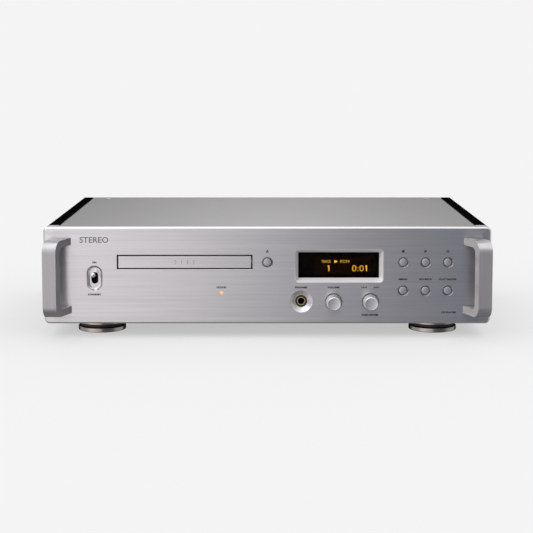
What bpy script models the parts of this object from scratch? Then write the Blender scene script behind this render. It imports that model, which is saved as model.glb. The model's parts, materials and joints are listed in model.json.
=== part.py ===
"""A full-width hi-fi CD player with rack handles, as an assembly of separate parts.

Metres, +Z up. The player faces -Y and stands on z = 0. The origin is at the centre of its
footprint. Names ending in _Y or _Z are places, the others are sizes.
"""

import math

import bmesh
import bpy
from mathutils import Matrix, Vector

mm = 0.001
GAP = 0.3 * mm  # room left between two pieces that touch
OVER = 1 * mm  # how far a cutter runs past the face that it cuts, and a joined shape into its piece

# ---------------------------------------------------------------- overall sizes
PANEL_WIDTH = 444 * mm
PANEL_HEIGHT = 97 * mm
PANEL_THICK = 15 * mm
BODY_DEPTH = 292 * mm  # front face of the panel to the outside of the rear panel
HANDLE_REACH = 32 * mm  # how far the handles stand out in front of the panel
SOCKET_REACH = 9.5 * mm  # how far the sockets stand out behind the rear panel
FOOT_HEIGHT = 14 * mm

# ---------------------------------------------------------------- case
PANEL_CORNER = 5 * mm
PANEL_CHAMFER = 1.5 * mm
SIDE_INSET = 2.8 * mm  # panel's end to the outside of the side panel
SIDE_WIDTH = 11.6 * mm
SIDE_WALL = 3.2 * mm
SIDE_RIM = 12 * mm  # solid border round the pocket inside a side panel
GROOVE_DEPTH = 0.8 * mm
GROOVE_WIDTH = 2 * mm
TOP_THICK = 4 * mm
TOP_LIP = 4.5 * mm  # how much of the front panel's top edge shows in front of the top plate
BOTTOM_THICK = 1.6 * mm
REAR_THICK = 2 * mm
VENTS = 7
VENT_PITCH = 14 * mm
VENT_X = 110 * mm
VENT_WIDTH = 3 * mm
VENT_LENGTH = 40 * mm

# ---------------------------------------------------------------- handles
HANDLE_MARGIN = 10.8 * mm  # handle to the panel's upper and lower edges
HANDLE_LEG = 7 * mm
HANDLE_BAR = 8 * mm
HANDLE_BEND = 11 * mm
HANDLE_INNER_BEND = 6 * mm
HANDLE_EDGE = 0.6 * mm
HANDLE_BASE_IN = 27.3 * mm  # these four run from the panel's end to the handle's sides
HANDLE_BASE_OUT = 8.9 * mm
HANDLE_BAR_IN = 16.7 * mm
HANDLE_BAR_OUT = 3.6 * mm

# ---------------------------------------------------------------- feet
FOOT_RADIUS = 24.3 * mm
FOOT_CUP_HEIGHT = 4.6 * mm
FOOT_FLANGE_RADIUS = 23.5 * mm
FOOT_X = 170 * mm
FOOT_SETBACK = 47 * mm  # panel's face, or rear panel, to the foot's centre

# ---------------------------------------------------------------- disc tray and its opening
TRAY_X = -82 * mm
TRAY_Z = 75.75 * mm
OPENING_WIDTH = 134.6 * mm
OPENING_HEIGHT = 14.5 * mm
TRAY_FRONT_GAP = 1.2 * mm
TRAY_FRONT_THICK = 5 * mm
TRAY_TRAVEL = 145 * mm
DECK_MARGIN = 3.8 * mm  # opening to the deck, each side
DECK_THICK = 5.2 * mm
DISC_POCKET_RADIUS = 61 * mm
DISC_POCKET_DEPTH = 3 * mm
TRAY_SLOT_WIDTH = 44 * mm

# ---------------------------------------------------------------- disc mechanism
FRAME_DEPTH = 184 * mm
FRAME_WALL = 3 * mm
FRAME_SETBACK = 7.75 * mm  # back of the panel to the frame
FRAME_FLOOR_DROP = 29.75 * mm  # tray's mid-height down to the frame's underside
RAIL_ROOM = 7.5 * mm  # deck's edge to the frame's wall
RAIL_HOLD = 1.5 * mm  # how far a rail reaches over the deck
RAIL_LIP_THICK = 3.2 * mm
RAIL_PLAY = 0.3 * mm
TRAVERSE_ROOM = 5 * mm  # clear of the traverse all round, in the frame's floor
DISC_SETBACK = 57 * mm  # frame's front to the disc's centre
TURNTABLE_RADIUS = 59 * mm
TURNTABLE_THICK = 4 * mm
TURNTABLE_LIFT = 4 * mm  # clear height over the tray's deck
BRIDGE_THICK = 4 * mm
BRIDGE_DEPTH = 50 * mm
SPINDLE_MOTOR_RADIUS = 20 * mm
SPINDLE_MOTOR_HEIGHT = 6.5 * mm
CLAMPER_RADIUS = 13 * mm
CLAMPER_DROP = 9 * mm  # clamper's rest height below the turntable: the lift and a disc's thickness
PICKUP_TRAVEL = 33 * mm
PICKUP_START = 25 * mm  # lens to disc centre at the inner end of its travel
ROD_RADIUS = 1.5 * mm
ROD_SPREAD = 20 * mm
ROD_RISE = 9 * mm  # rods above the traverse's plate
LUG_HALF = 4.5 * mm
LUG_THICK = 4.3 * mm
PICKUP_HALF = 11 * mm

# ---------------------------------------------------------------- gears and belt
GEAR_TEETH = 18
TRAY_MODULE = 1.3 * mm
SLED_MODULE = 0.8 * mm
PRESSURE_ANGLE = math.radians(20)
BACKLASH = 0.36 * mm
PULLEY_RADIUS = 14 * mm
MOTOR_PULLEY_RADIUS = 4 * mm
BELT_THICK = 1.2 * mm
BELT_REACH = 42 * mm  # between the two pulleys' axes
PULLEY_FLANGE = 1 * mm
GEAR_POST_RADIUS = 2 * mm
MOTOR_SHAFT_RADIUS = 1 * mm

# ---------------------------------------------------------------- controls on the panel
SWITCH_TO_TRAY = 22.4 * mm
SWITCH_Z = 59.6 * mm
SWITCH_DISH_WIDTH = 14.5 * mm
SWITCH_DISH_HEIGHT = 24.3 * mm
SWITCH_DISH_DEPTH = 3 * mm
SWITCH_SLOT_WIDTH = 6.8 * mm
SWITCH_SLOT_HEIGHT = 11.6 * mm
LEVER_REACH = 15 * mm
LEVER_BALL = 2.5 * mm
LEVER_TILT = math.radians(15)

WINDOW_X = 71.2 * mm
WINDOW_Z = 71.9 * mm
WINDOW_WIDTH = 88.2 * mm
WINDOW_HEIGHT = 33.2 * mm
WINDOW_SLOPE = 3.7 * mm
WINDOW_DEPTH = 7.5 * mm
GLASS_THICK = 2.5 * mm

LOWER_ROW_Z = 36.2 * mm
JACK_X = 33.7 * mm
JACK_DISH_RADIUS = 11 * mm
JACK_DISH_DEPTH = 4 * mm
JACK_SLEEVE_RADIUS = 5.7 * mm
JACK_BORE_RADIUS = 3.25 * mm
JACK_DEPTH = 36 * mm
VOLUME_X = 65.8 * mm
SKIP_X = 102.5 * mm
KNOB_RADIUS = 7.5 * mm
KNOB_REACH = 15 * mm
KNOB_RIM_GAP = 1.45 * mm
KNOB_WELL = 6 * mm
KNOB_BACK = 1.5 * mm - KNOB_WELL
SHAFT_RADIUS = 3 * mm
SHAFT_ROOM = 0.5 * mm
PUSH_TRAVEL = 0.8 * mm

BUTTON_ROWS_Z = {"upper": TRAY_Z, "lower": 47.4 * mm}
BUTTON_COLUMNS_X = [134.8 * mm, 157 * mm, 179.1 * mm]
EJECT_TO_TRAY = 14.7 * mm
BUTTON_RADIUS = 3.75 * mm
BUTTON_RIM_GAP = 1.4 * mm
BUTTON_PROUD = 0.8 * mm
BUTTON_TRAVEL = 1.2 * mm
LED_X = -45.5 * mm
LED_Z = 45.2 * mm
LED_RADIUS = 1.25 * mm

# ---------------------------------------------------------------- power supply and boards
TRANSFORMER_X = -172 * mm
TRANSFORMER_RADIUS = 31 * mm
TRANSFORMER_BORE = 8 * mm
TRANSFORMER_HEIGHT = 36 * mm
BOARD_THICK = 1.6 * mm
BOARD_STAND = 9 * mm
POWER_BOARD_X = (-134 * mm, -14 * mm)
MAIN_BOARD_START_X = 6 * mm
CAPACITOR_RADIUS = 11 * mm
CAPACITOR_HEIGHT = 32 * mm
POST_RADIUS = 3 * mm

# ---------------------------------------------------------------- rear sockets
SOCKET_Z = 60 * mm
SOCKET_DEPTH = 20 * mm  # how far a socket's body reaches into the case
SOCKET_BLOCK = 8 * mm  # a socket's axis to the sides of its moulded body
PHONO_RADIUS = 4.15 * mm
PHONO_BORE = 1.7 * mm
PHONO_X = [188 * mm, 168 * mm]
BALANCED_RADIUS = 11.5 * mm
BALANCED_CUP = 8.8 * mm
BALANCED_X = {"right": 136 * mm, "left": 104 * mm}
COAX_X = [74 * mm, 58 * mm]
OPTICAL_X = [40 * mm, 24 * mm]
OPTICAL_HALF = 4.8 * mm
OPTICAL_BORE = 2.8 * mm
USB_X = 4 * mm
USB_HALF = 6 * mm
USB_MOUTH = 4.2 * mm
CLOCK_X = -20 * mm
CLOCK_RADIUS = 4.8 * mm
CLOCK_BORE = 3.5 * mm
INLET_X = -170 * mm
INLET_Z = 66 * mm
INLET_WIDTH = 28 * mm
INLET_HEIGHT = 20 * mm
INLET_RIM = 2.6 * mm

# ---------------------------------------------------------------- places worked out from the sizes
TOTAL_DEPTH = HANDLE_REACH + BODY_DEPTH + SOCKET_REACH
FACE_Y = -TOTAL_DEPTH / 2 + HANDLE_REACH
PANEL_BACK_Y = FACE_Y + PANEL_THICK
REAR_Y = FACE_Y + BODY_DEPTH
BASE_Z = FOOT_HEIGHT
TOP_Z = BASE_Z + PANEL_HEIGHT
SIDE_OUT_X = PANEL_WIDTH / 2 - SIDE_INSET
SIDE_IN_X = SIDE_OUT_X - SIDE_WIDTH
INSIDE_FLOOR_Z = BASE_Z + BOTTOM_THICK + GAP
UNDER_TOP_Z = TOP_Z - TOP_THICK
REAR_IN_Y = REAR_Y - REAR_THICK

DECK_WIDTH = OPENING_WIDTH - 2 * DECK_MARGIN
FRAME_WIDTH = DECK_WIDTH + 2 * RAIL_ROOM + 2 * FRAME_WALL
SWITCH_X = TRAY_X - OPENING_WIDTH / 2 - SWITCH_TO_TRAY
EJECT_X = TRAY_X + OPENING_WIDTH / 2 + EJECT_TO_TRAY

DECK_TOP_Z = TRAY_Z + 4.75 * mm
DECK_LOW_Z = DECK_TOP_Z - DECK_THICK
RACK_LOW_Z = TRAY_Z - 5.75 * mm
FRAME_Y = PANEL_BACK_Y + FRAME_SETBACK
FRAME_LOW_Z = TRAY_Z - FRAME_FLOOR_DROP
FRAME_FLOOR_Z = FRAME_LOW_Z + FRAME_WALL
FRAME_TOP_Z = DECK_TOP_Z + RAIL_PLAY + RAIL_LIP_THICK
DISC_Y = FRAME_Y + DISC_SETBACK
TURNTABLE_Z = DECK_TOP_Z + TURNTABLE_LIFT
SPINDLE_Z = TURNTABLE_Z + TURNTABLE_THICK + 1.7 * mm
BRIDGE_Z = SPINDLE_Z + SPINDLE_MOTOR_HEIGHT + GAP
LOADER_GEAR_RADIUS = TRAY_MODULE * GEAR_TEETH / 2
SLED_GEAR_RADIUS = SLED_MODULE * GEAR_TEETH / 2
RACK_X = TRAY_X - TRAY_SLOT_WIDTH / 2 - 28 * mm
LOADER_X = RACK_X + LOADER_GEAR_RADIUS
LOADER_Y = FRAME_Y + 14 * mm
LOADER_MOTOR_X = LOADER_X + BELT_REACH
DECK_END_Y = LOADER_Y + TRAY_TRAVEL + 7 * mm
PICKUP_Y = DISC_Y + PICKUP_START
SLED_RACK_X = TRAY_X + ROD_SPREAD + 7.5 * mm
SLED_X = SLED_RACK_X + SLED_GEAR_RADIUS
SLED_Y = PICKUP_Y + 8 * mm
BOARD_Y = PANEL_BACK_Y + 9.75 * mm  # front of the control board
CONTACT_Y = BOARD_Y - 2.7 * mm  # where button stems and shafts meet the switches


# ================================================================ materials
def material(name, colour, roughness, metallic=0.0):
    """A plain Principled material."""
    made = bpy.data.materials.new(name)
    made.use_nodes = True
    shader = made.node_tree.nodes["Principled BSDF"]
    shader.inputs["Base Color"].default_value = (*colour, 1)
    shader.inputs["Roughness"].default_value = roughness
    shader.inputs["Metallic"].default_value = metallic
    made.diffuse_color = (*colour, 1)
    return made


# ================================================================ small helpers
def place(name, mesh, finish=None, where=(0, 0, 0), turn=(0, 0, 0), helper=False):
    """Makes an object of a mesh. A helper is a cutter or a shape that a Boolean joins."""
    obj = bpy.data.objects.new(name, mesh)
    obj.location = where
    obj.rotation_euler = turn
    if helper:
        cutters.objects.link(obj)
        obj.hide_render = True
        obj.display_type = "WIRE"
    else:
        parts.objects.link(obj)
        mesh.materials.append(finish)
    return obj


def box(name, x, y, z, finish=None, helper=False):
    """A box from three (low, high) pairs."""
    low = Vector((x[0], y[0], z[0]))
    high = Vector((x[1], y[1], z[1]))
    bm = bmesh.new()
    bmesh.ops.create_cube(bm, size=1, matrix=Matrix.Diagonal((*(high - low), 1)))
    mesh = bpy.data.meshes.new(name)
    bm.to_mesh(mesh)
    bm.free()
    return place(name, mesh, finish, (low + high) / 2, helper=helper)


TURNS = {"Z": (0, 0, 0), "-Y": (math.pi / 2, 0, 0), "Y": (-math.pi / 2, 0, 0)}


def cylinder(name, radius, centre, axis, low, high, finish=None, segments=24, helper=False, top=None):
    """A cylinder or, with a top radius, a cone, from low to high along a local axis."""
    bm = bmesh.new()
    lift = Matrix.Translation((0, 0, (low + high) / 2))
    bmesh.ops.create_cone(
        bm,
        cap_ends=True,
        segments=segments,
        radius1=radius,
        radius2=radius if top is None else top,
        depth=high - low,
        matrix=lift,
    )
    mesh = bpy.data.meshes.new(name)
    bm.to_mesh(mesh)
    bm.free()
    mesh.shade_smooth()
    mesh.set_sharp_from_angle(angle=math.radians(30))
    return place(name, mesh, finish, centre, TURNS[axis], helper)


def turned(name, profile, centre, axis, finish=None, segments=24, closed=False, helper=False):
    """A turned piece: (radius, height) points run down the outer side and are screwed round."""
    mesh = bpy.data.meshes.new(name)
    edges = [(i, i + 1) for i in range(len(profile) - 1)]
    if closed:
        edges.append((len(profile) - 1, 0))
    mesh.from_pydata([(r, 0, h) for r, h in profile], edges, [])
    obj = place(name, mesh, finish, centre, TURNS[axis], helper)
    screw = obj.modifiers.new("turn", "SCREW")
    screw.angle = 2 * math.pi
    screw.steps = screw.render_steps = segments
    screw.use_merge_vertices = True
    screw.merge_threshold = 0.00001
    return obj


PLANES = {"XY": (0, 0, 0), "XZ": (math.pi / 2, 0, 0), "YZ": (math.pi / 2, 0, math.pi / 2)}


def extruded(name, outlines, plane, span, finish=None, where=(0, 0), helper=False):
    """A flat outline, with any holes after it, extruded over span along the plane's normal."""
    curve = bpy.data.curves.new(name, "CURVE")
    curve.dimensions = "2D"
    curve.fill_mode = "BOTH"
    curve.extrude = (span[1] - span[0]) / 2
    for outline in outlines:
        spline = curve.splines.new("POLY")
        spline.points.add(len(outline) - 1)
        for point, (a, b) in zip(spline.points, outline):
            point.co = (a, b, 0, 1)
        spline.use_cyclic_u = True
    guide = bpy.data.objects.new(name + "_outline", curve)
    cutters.objects.link(guide)
    bpy.context.view_layer.update()
    graph = bpy.context.evaluated_depsgraph_get()
    mesh = bpy.data.meshes.new_from_object(guide.evaluated_get(graph))
    mesh.materials.clear()
    bpy.data.objects.remove(guide)
    bm = bmesh.new()
    bm.from_mesh(mesh)
    bmesh.ops.remove_doubles(bm, verts=bm.verts, dist=0.000002)
    bmesh.ops.recalc_face_normals(bm, faces=bm.faces)
    bm.to_mesh(mesh)
    bm.free()
    middle = (span[0] + span[1]) / 2
    a, b = where
    spot = {"XY": (a, b, middle), "XZ": (a, middle, b), "YZ": (middle, a, b)}[plane]
    return place(name, mesh, finish, spot, PLANES[plane], helper)


def boolean(target, other, operation):
    step = target.modifiers.new(operation.lower(), "BOOLEAN")
    step.operation = operation
    step.object = other


def cut(target, *others):
    for other in others:
        boolean(target, other, "DIFFERENCE")


def cut_together(target, others):
    """Cuts many shapes out of a piece in one step, which keeps its large faces whole."""
    group = bpy.data.collections.new(target.name + "_cutters")
    cutters.children.link(group)
    for other in others:
        cutters.objects.unlink(other)
        group.objects.link(other)
    step = target.modifiers.new("cuts", "BOOLEAN")
    step.operation = "DIFFERENCE"
    step.operand_type = "COLLECTION"
    step.collection = group


def join(target, *others):
    for other in others:
        boolean(target, other, "UNION")


def rounded_rectangle(width, height, radius, steps=6):
    """Outline points, anticlockwise, centred on 0, 0."""
    points = []
    corners = [(1, 1, 0), (-1, 1, 90), (-1, -1, 180), (1, -1, 270)]
    for sx, sy, start in corners:
        cx = sx * (width / 2 - radius)
        cy = sy * (height / 2 - radius)
        for i in range(steps + 1):
            a = math.radians(start + 90 * i / steps)
            points.append((cx + radius * math.cos(a), cy + radius * math.sin(a)))
    return points


def without_repeats(points, nearest=0.000005):
    """Drops points that lie on the one before, as on a stadium's straight ends."""
    kept = [points[0]]
    for a, b in points[1:]:
        if math.hypot(a - kept[-1][0], b - kept[-1][1]) > nearest:
            kept.append((a, b))
    return kept


def stadium(width, height, steps=6):
    return without_repeats(rounded_rectangle(width, height, width / 2, steps))


def tapered_cutter(name, outline, slope, depth, where):
    """Cuts a recess whose outline shrinks by slope from the panel's face to its floor."""
    bm = bmesh.new()
    front = [bm.verts.new((a, 0, b)) for a, b in outline]
    face = bm.faces.new(front)
    bmesh.ops.inset_region(bm, faces=[face], thickness=slope, use_boundary=True, use_even_offset=True)
    bmesh.ops.translate(bm, verts=face.verts, vec=(0, depth, 0))
    rim = [e for e in bm.edges if e.is_boundary]
    lip = bmesh.ops.extrude_edge_only(bm, edges=rim)["geom"]
    lip_verts = [g for g in lip if isinstance(g, bmesh.types.BMVert)]
    bmesh.ops.translate(bm, verts=lip_verts, vec=(0, -OVER, 0))
    bmesh.ops.holes_fill(bm, edges=[g for g in lip if isinstance(g, bmesh.types.BMEdge)])
    bmesh.ops.recalc_face_normals(bm, faces=bm.faces)
    mesh = bpy.data.meshes.new(name)
    bm.to_mesh(mesh)
    bm.free()
    return place(name, mesh, None, (where[0], FACE_Y, where[1]), helper=True)


def bored(name, x, z, radius, depth, segments=24):
    """Cuts a round hole from the panel's face inwards."""
    return cylinder(name, radius, (x, FACE_Y, z), "-Y", -depth, OVER, helper=True, segments=segments)


# ================================================================ gear shapes
def involute(radius, base):
    """Angle that an involute has unwound to at this radius."""
    t = math.sqrt(max(0.0, (radius / base) ** 2 - 1))
    return t - math.atan(t)


def gear_outline(module, first_tooth):
    """Outline of a spur gear, with the middle of one tooth at the angle first_tooth."""
    pitch = module * GEAR_TEETH / 2
    base = pitch * math.cos(PRESSURE_ANGLE)
    root = pitch - 1.25 * module
    tip = pitch + module
    half = (math.pi * module / 2 - BACKLASH / 2) / (2 * pitch)
    reach = half + involute(pitch, base)
    flank = [(root, reach)]
    for i in range(3):
        radius = base + (tip - base) * i / 2
        flank.append((radius, reach - involute(radius, base)))
    points = []
    for tooth in range(GEAR_TEETH):
        middle = first_tooth + 2 * math.pi * tooth / GEAR_TEETH
        for radius, angle in flank:
            points.append((radius * math.cos(middle - angle), radius * math.sin(middle - angle)))
        for radius, angle in reversed(flank):
            points.append((radius * math.cos(middle + angle), radius * math.sin(middle + angle)))
    return points


def rack_outline(module, pitch_x, back_x, gear_y, low_y, high_y):
    """Outline of a rack with its teeth towards +X and the middle of a gap at gear_y."""
    pitch = math.pi * module
    half = (pitch / 2 - BACKLASH / 2) / 2
    lean = math.tan(PRESSURE_ANGLE)
    tip = 0.9 * module
    root = 1.25 * module
    points = [(back_x, high_y), (back_x, low_y), (pitch_x - root, low_y)]
    first = math.ceil((low_y + pitch / 2 - gear_y) / pitch - 0.5)
    last = math.floor((high_y - pitch / 2 - gear_y) / pitch - 0.5)
    for tooth in range(first, last + 1):
        y = gear_y + (tooth + 0.5) * pitch
        points.append((pitch_x - root, y - half - root * lean))
        points.append((pitch_x + tip, y - half + tip * lean))
        points.append((pitch_x + tip, y + half - tip * lean))
        points.append((pitch_x - root, y + half + root * lean))
    points.append((pitch_x - root, high_y))
    return points


# ================================================================ case
def panel_plate():
    """The plate before it is cut: round corners, and a chamfer round its face."""
    outline = rounded_rectangle(PANEL_WIDTH, PANEL_HEIGHT, PANEL_CORNER, steps=5)
    bm = bmesh.new()
    back = bm.faces.new([bm.verts.new((a, 0, b)) for a, b in outline])
    sides = bmesh.ops.extrude_face_region(bm, geom=[back])["geom"]
    front = next(g for g in sides if isinstance(g, bmesh.types.BMFace))
    bmesh.ops.translate(bm, verts=front.verts, vec=(0, -(PANEL_THICK - PANEL_CHAMFER), 0))
    bmesh.ops.inset_region(bm, faces=[front], thickness=PANEL_CHAMFER, use_even_offset=True)
    bmesh.ops.translate(bm, verts=front.verts, vec=(0, -PANEL_CHAMFER, 0))
    bmesh.ops.recalc_face_normals(bm, faces=bm.faces)
    mesh = bpy.data.meshes.new("front_panel")
    bm.to_mesh(mesh)
    bm.free()
    return place("front_panel", mesh, silver, (0, PANEL_BACK_Y, BASE_Z + PANEL_HEIGHT / 2))


def make_front_panel():
    """A thick plate, cut for the top plate, tray, window, switch, jack, knobs, buttons and lamp."""
    through = (FACE_Y - OVER, PANEL_BACK_Y + OVER)
    seat_y = (FACE_Y + TOP_LIP - GAP, through[1])
    seat_z = (UNDER_TOP_Z - GAP, TOP_Z + OVER)
    opening = rounded_rectangle(OPENING_WIDTH, OPENING_HEIGHT, 0.8 * mm, steps=2)
    shapes = [
        box("top_seat", (-SIDE_IN_X, SIDE_IN_X), seat_y, seat_z, helper=True),
        extruded("tray_hole", [opening], "XZ", through, where=(TRAY_X, TRAY_Z), helper=True),
    ]

    window = rounded_rectangle(WINDOW_WIDTH, WINDOW_HEIGHT, WINDOW_SLOPE + 0.3 * mm, steps=4)
    half_w = WINDOW_WIDTH / 2 + GAP
    half_h = WINDOW_HEIGHT / 2 + GAP
    window_x = (WINDOW_X - half_w, WINDOW_X + half_w)
    window_z = (WINDOW_Z - half_h, WINDOW_Z + half_h)
    shapes += [
        tapered_cutter("window_slope", window, WINDOW_SLOPE, WINDOW_DEPTH + GAP, (WINDOW_X, WINDOW_Z)),
        box("window_seat", window_x, (FACE_Y + WINDOW_DEPTH, through[1]), window_z, helper=True),
    ]

    place_of_switch = (SWITCH_X, SWITCH_Z)
    dish = stadium(SWITCH_DISH_WIDTH, SWITCH_DISH_HEIGHT)
    slope = (SWITCH_DISH_WIDTH - SWITCH_SLOT_WIDTH) / 2 - 1 * mm
    slot = stadium(SWITCH_SLOT_WIDTH, SWITCH_SLOT_HEIGHT)
    shapes += [
        tapered_cutter("switch_dish", dish, slope, SWITCH_DISH_DEPTH, place_of_switch),
        extruded("switch_slot", [slot], "XZ", through, where=place_of_switch, helper=True),
    ]

    deep = PANEL_THICK + OVER
    steep = (JACK_DISH_RADIUS - JACK_SLEEVE_RADIUS - 0.8 * mm) / JACK_DISH_DEPTH
    jack_dish = cylinder(
        "jack_dish",
        JACK_DISH_RADIUS - steep * JACK_DISH_DEPTH,
        (JACK_X, FACE_Y, LOWER_ROW_Z),
        "-Y",
        -JACK_DISH_DEPTH,
        OVER,
        helper=True,
        segments=32,
        top=JACK_DISH_RADIUS + steep * OVER,
    )
    shapes += [jack_dish, bored("jack_hole", JACK_X, LOWER_ROW_Z, JACK_SLEEVE_RADIUS + GAP, deep)]
    for name, x in (("volume", VOLUME_X), ("skip", SKIP_X)):
        shapes.append(bored(name + "_well", x, LOWER_ROW_Z, KNOB_RADIUS + KNOB_RIM_GAP, KNOB_WELL))
        shapes.append(bored(name + "_shaft_hole", x, LOWER_ROW_Z, SHAFT_RADIUS + SHAFT_ROOM, deep))
    for name, (x, z) in BUTTONS.items():
        shapes.append(bored(name + "_hole", x, z, BUTTON_RADIUS + BUTTON_RIM_GAP, deep))
    shapes.append(bored("led_hole", LED_X, LED_Z, LED_RADIUS + GAP, deep, 12))
    cut_together(panel_plate(), shapes)


def bend(radius, reach, height, steps=6):
    """A quarter circle of (distance from the panel, height) points, from a leg round to the grip."""
    angles = [math.pi / 2 * i / steps for i in range(steps + 1)]
    return [(reach + radius * (math.sin(a) - 1), height + radius * (math.cos(a) - 1)) for a in angles]


def make_handle(side, sign):
    """A flat-bar handle bent to a U, whose sides lean outwards from the panel to the grip."""
    half = PANEL_HEIGHT / 2 - HANDLE_MARGIN
    inner_half = half - HANDLE_LEG
    outer = [(GAP, half)] + bend(HANDLE_BEND, HANDLE_REACH, half)
    inner = [(GAP, inner_half)] + bend(HANDLE_INNER_BEND, HANDLE_REACH - HANDLE_BAR, inner_half)
    outline = outer + [(d, -h) for d, h in reversed(outer)]
    outline += [(d, -h) for d, h in inner] + inner[::-1]
    flat = [(-d, h) for d, h in outline]
    middle = (FACE_Y, BASE_Z + PANEL_HEIGHT / 2)
    handle = extruded("handle_" + side, [flat], "YZ", (-OVER, OVER), silver, where=middle)
    for vertex in handle.data.vertices:
        share = -vertex.co.x / HANDLE_REACH
        if (vertex.co.z > 0) == (sign > 0):
            inset = HANDLE_BASE_OUT + (HANDLE_BAR_OUT - HANDLE_BASE_OUT) * share
        else:
            inset = HANDLE_BASE_IN + (HANDLE_BAR_IN - HANDLE_BASE_IN) * share
        vertex.co.z = sign * (PANEL_WIDTH / 2 - inset)
    edge = handle.modifiers.new("edges", "BEVEL")
    edge.width = HANDLE_EDGE
    edge.segments = 1
    edge.limit_method = "ANGLE"
    edge.angle_limit = math.radians(60)


def make_side_panel(side, sign):
    """A black wall, pocketed inside, with two long grooves along its outer face."""
    name = "side_panel_" + side
    x = sorted((sign * (SIDE_IN_X + GAP), sign * SIDE_OUT_X))
    wall = box(name, x, (PANEL_BACK_Y + GAP, REAR_Y), (BASE_Z, TOP_Z), black)
    pocket_x = sorted((sign * (SIDE_IN_X - OVER), sign * (SIDE_OUT_X - SIDE_WALL)))
    pocket_y = (PANEL_BACK_Y + SIDE_RIM, REAR_Y - SIDE_RIM)
    pocket_z = (BASE_Z + SIDE_RIM / 2, TOP_Z - SIDE_RIM / 2)
    cut(wall, box(side + "_pocket", pocket_x, pocket_y, pocket_z, helper=True))
    groove_x = sorted((sign * (SIDE_OUT_X - GROOVE_DEPTH), sign * (SIDE_OUT_X + OVER)))
    groove_y = (PANEL_BACK_Y - OVER, REAR_Y + OVER)
    for i in (1, 2):
        z = BASE_Z + PANEL_HEIGHT * i / 3
        groove_z = (z - GROOVE_WIDTH / 2, z + GROOVE_WIDTH / 2)
        cut(wall, box(f"{side}_groove_{i}", groove_x, groove_y, groove_z, helper=True))


def make_case():
    make_front_panel()
    inside_x = (-SIDE_IN_X + GAP, SIDE_IN_X - GAP)
    for side, sign in (("left", -1), ("right", 1)):
        make_handle(side, sign)
        make_side_panel(side, sign)
    top = box("top_plate", inside_x, (FACE_Y + TOP_LIP, REAR_Y), (UNDER_TOP_Z, TOP_Z), silver)
    edge = top.modifiers.new("edges", "BEVEL")
    edge.width = 0.7 * mm
    edge.segments = 1

    floor_y = (PANEL_BACK_Y + GAP, REAR_IN_Y - GAP)
    floor = box("bottom_plate", inside_x, floor_y, (BASE_Z, BASE_Z + BOTTOM_THICK), black)
    vent = stadium(VENT_WIDTH, VENT_LENGTH, steps=2)
    for i in range(VENTS):
        spot = (VENT_X + (i - (VENTS - 1) / 2) * VENT_PITCH, DISC_Y + VENT_LENGTH)
        cut(floor, extruded(f"vent_{i}", [vent], "XY", (0, 2 * BASE_Z), where=spot, helper=True))


# ================================================================ feet
def make_feet():
    """Each foot is a flange fixed under the case and a loose cup that it stands in."""
    ring_low = FOOT_CUP_HEIGHT + GAP
    ring_high = ring_low + 2.7 * mm
    flange = [
        (0, BASE_Z - GAP),
        (FOOT_FLANGE_RADIUS, BASE_Z - GAP),
        (FOOT_FLANGE_RADIUS, ring_high),
        (FOOT_FLANGE_RADIUS - 0.6 * mm, ring_high),
        (FOOT_FLANGE_RADIUS - 0.6 * mm, ring_low),
        (5 * mm, ring_low),
        (0, ring_low - 2 * mm),
    ]
    cup = [
        (0, FOOT_CUP_HEIGHT - 2.4 * mm),
        (6 * mm, FOOT_CUP_HEIGHT),
        (FOOT_RADIUS - 0.6 * mm, FOOT_CUP_HEIGHT),
        (FOOT_RADIUS, FOOT_CUP_HEIGHT - 0.6 * mm),
        (FOOT_RADIUS, 0.6 * mm),
        (FOOT_RADIUS - 0.6 * mm, 0),
        (0, 0),
    ]
    rows = {"front": FACE_Y + FOOT_SETBACK, "rear": REAR_Y - FOOT_SETBACK}
    for row, y in rows.items():
        for side, x in (("left", -FOOT_X), ("right", FOOT_X)):
            turned(f"foot_flange_{row}_{side}", flange, (x, y, 0), "Z", bronze, 20)
            turned(f"foot_cup_{row}_{side}", cup, (x, y, 0), "Z", bronze, 20)


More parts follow.
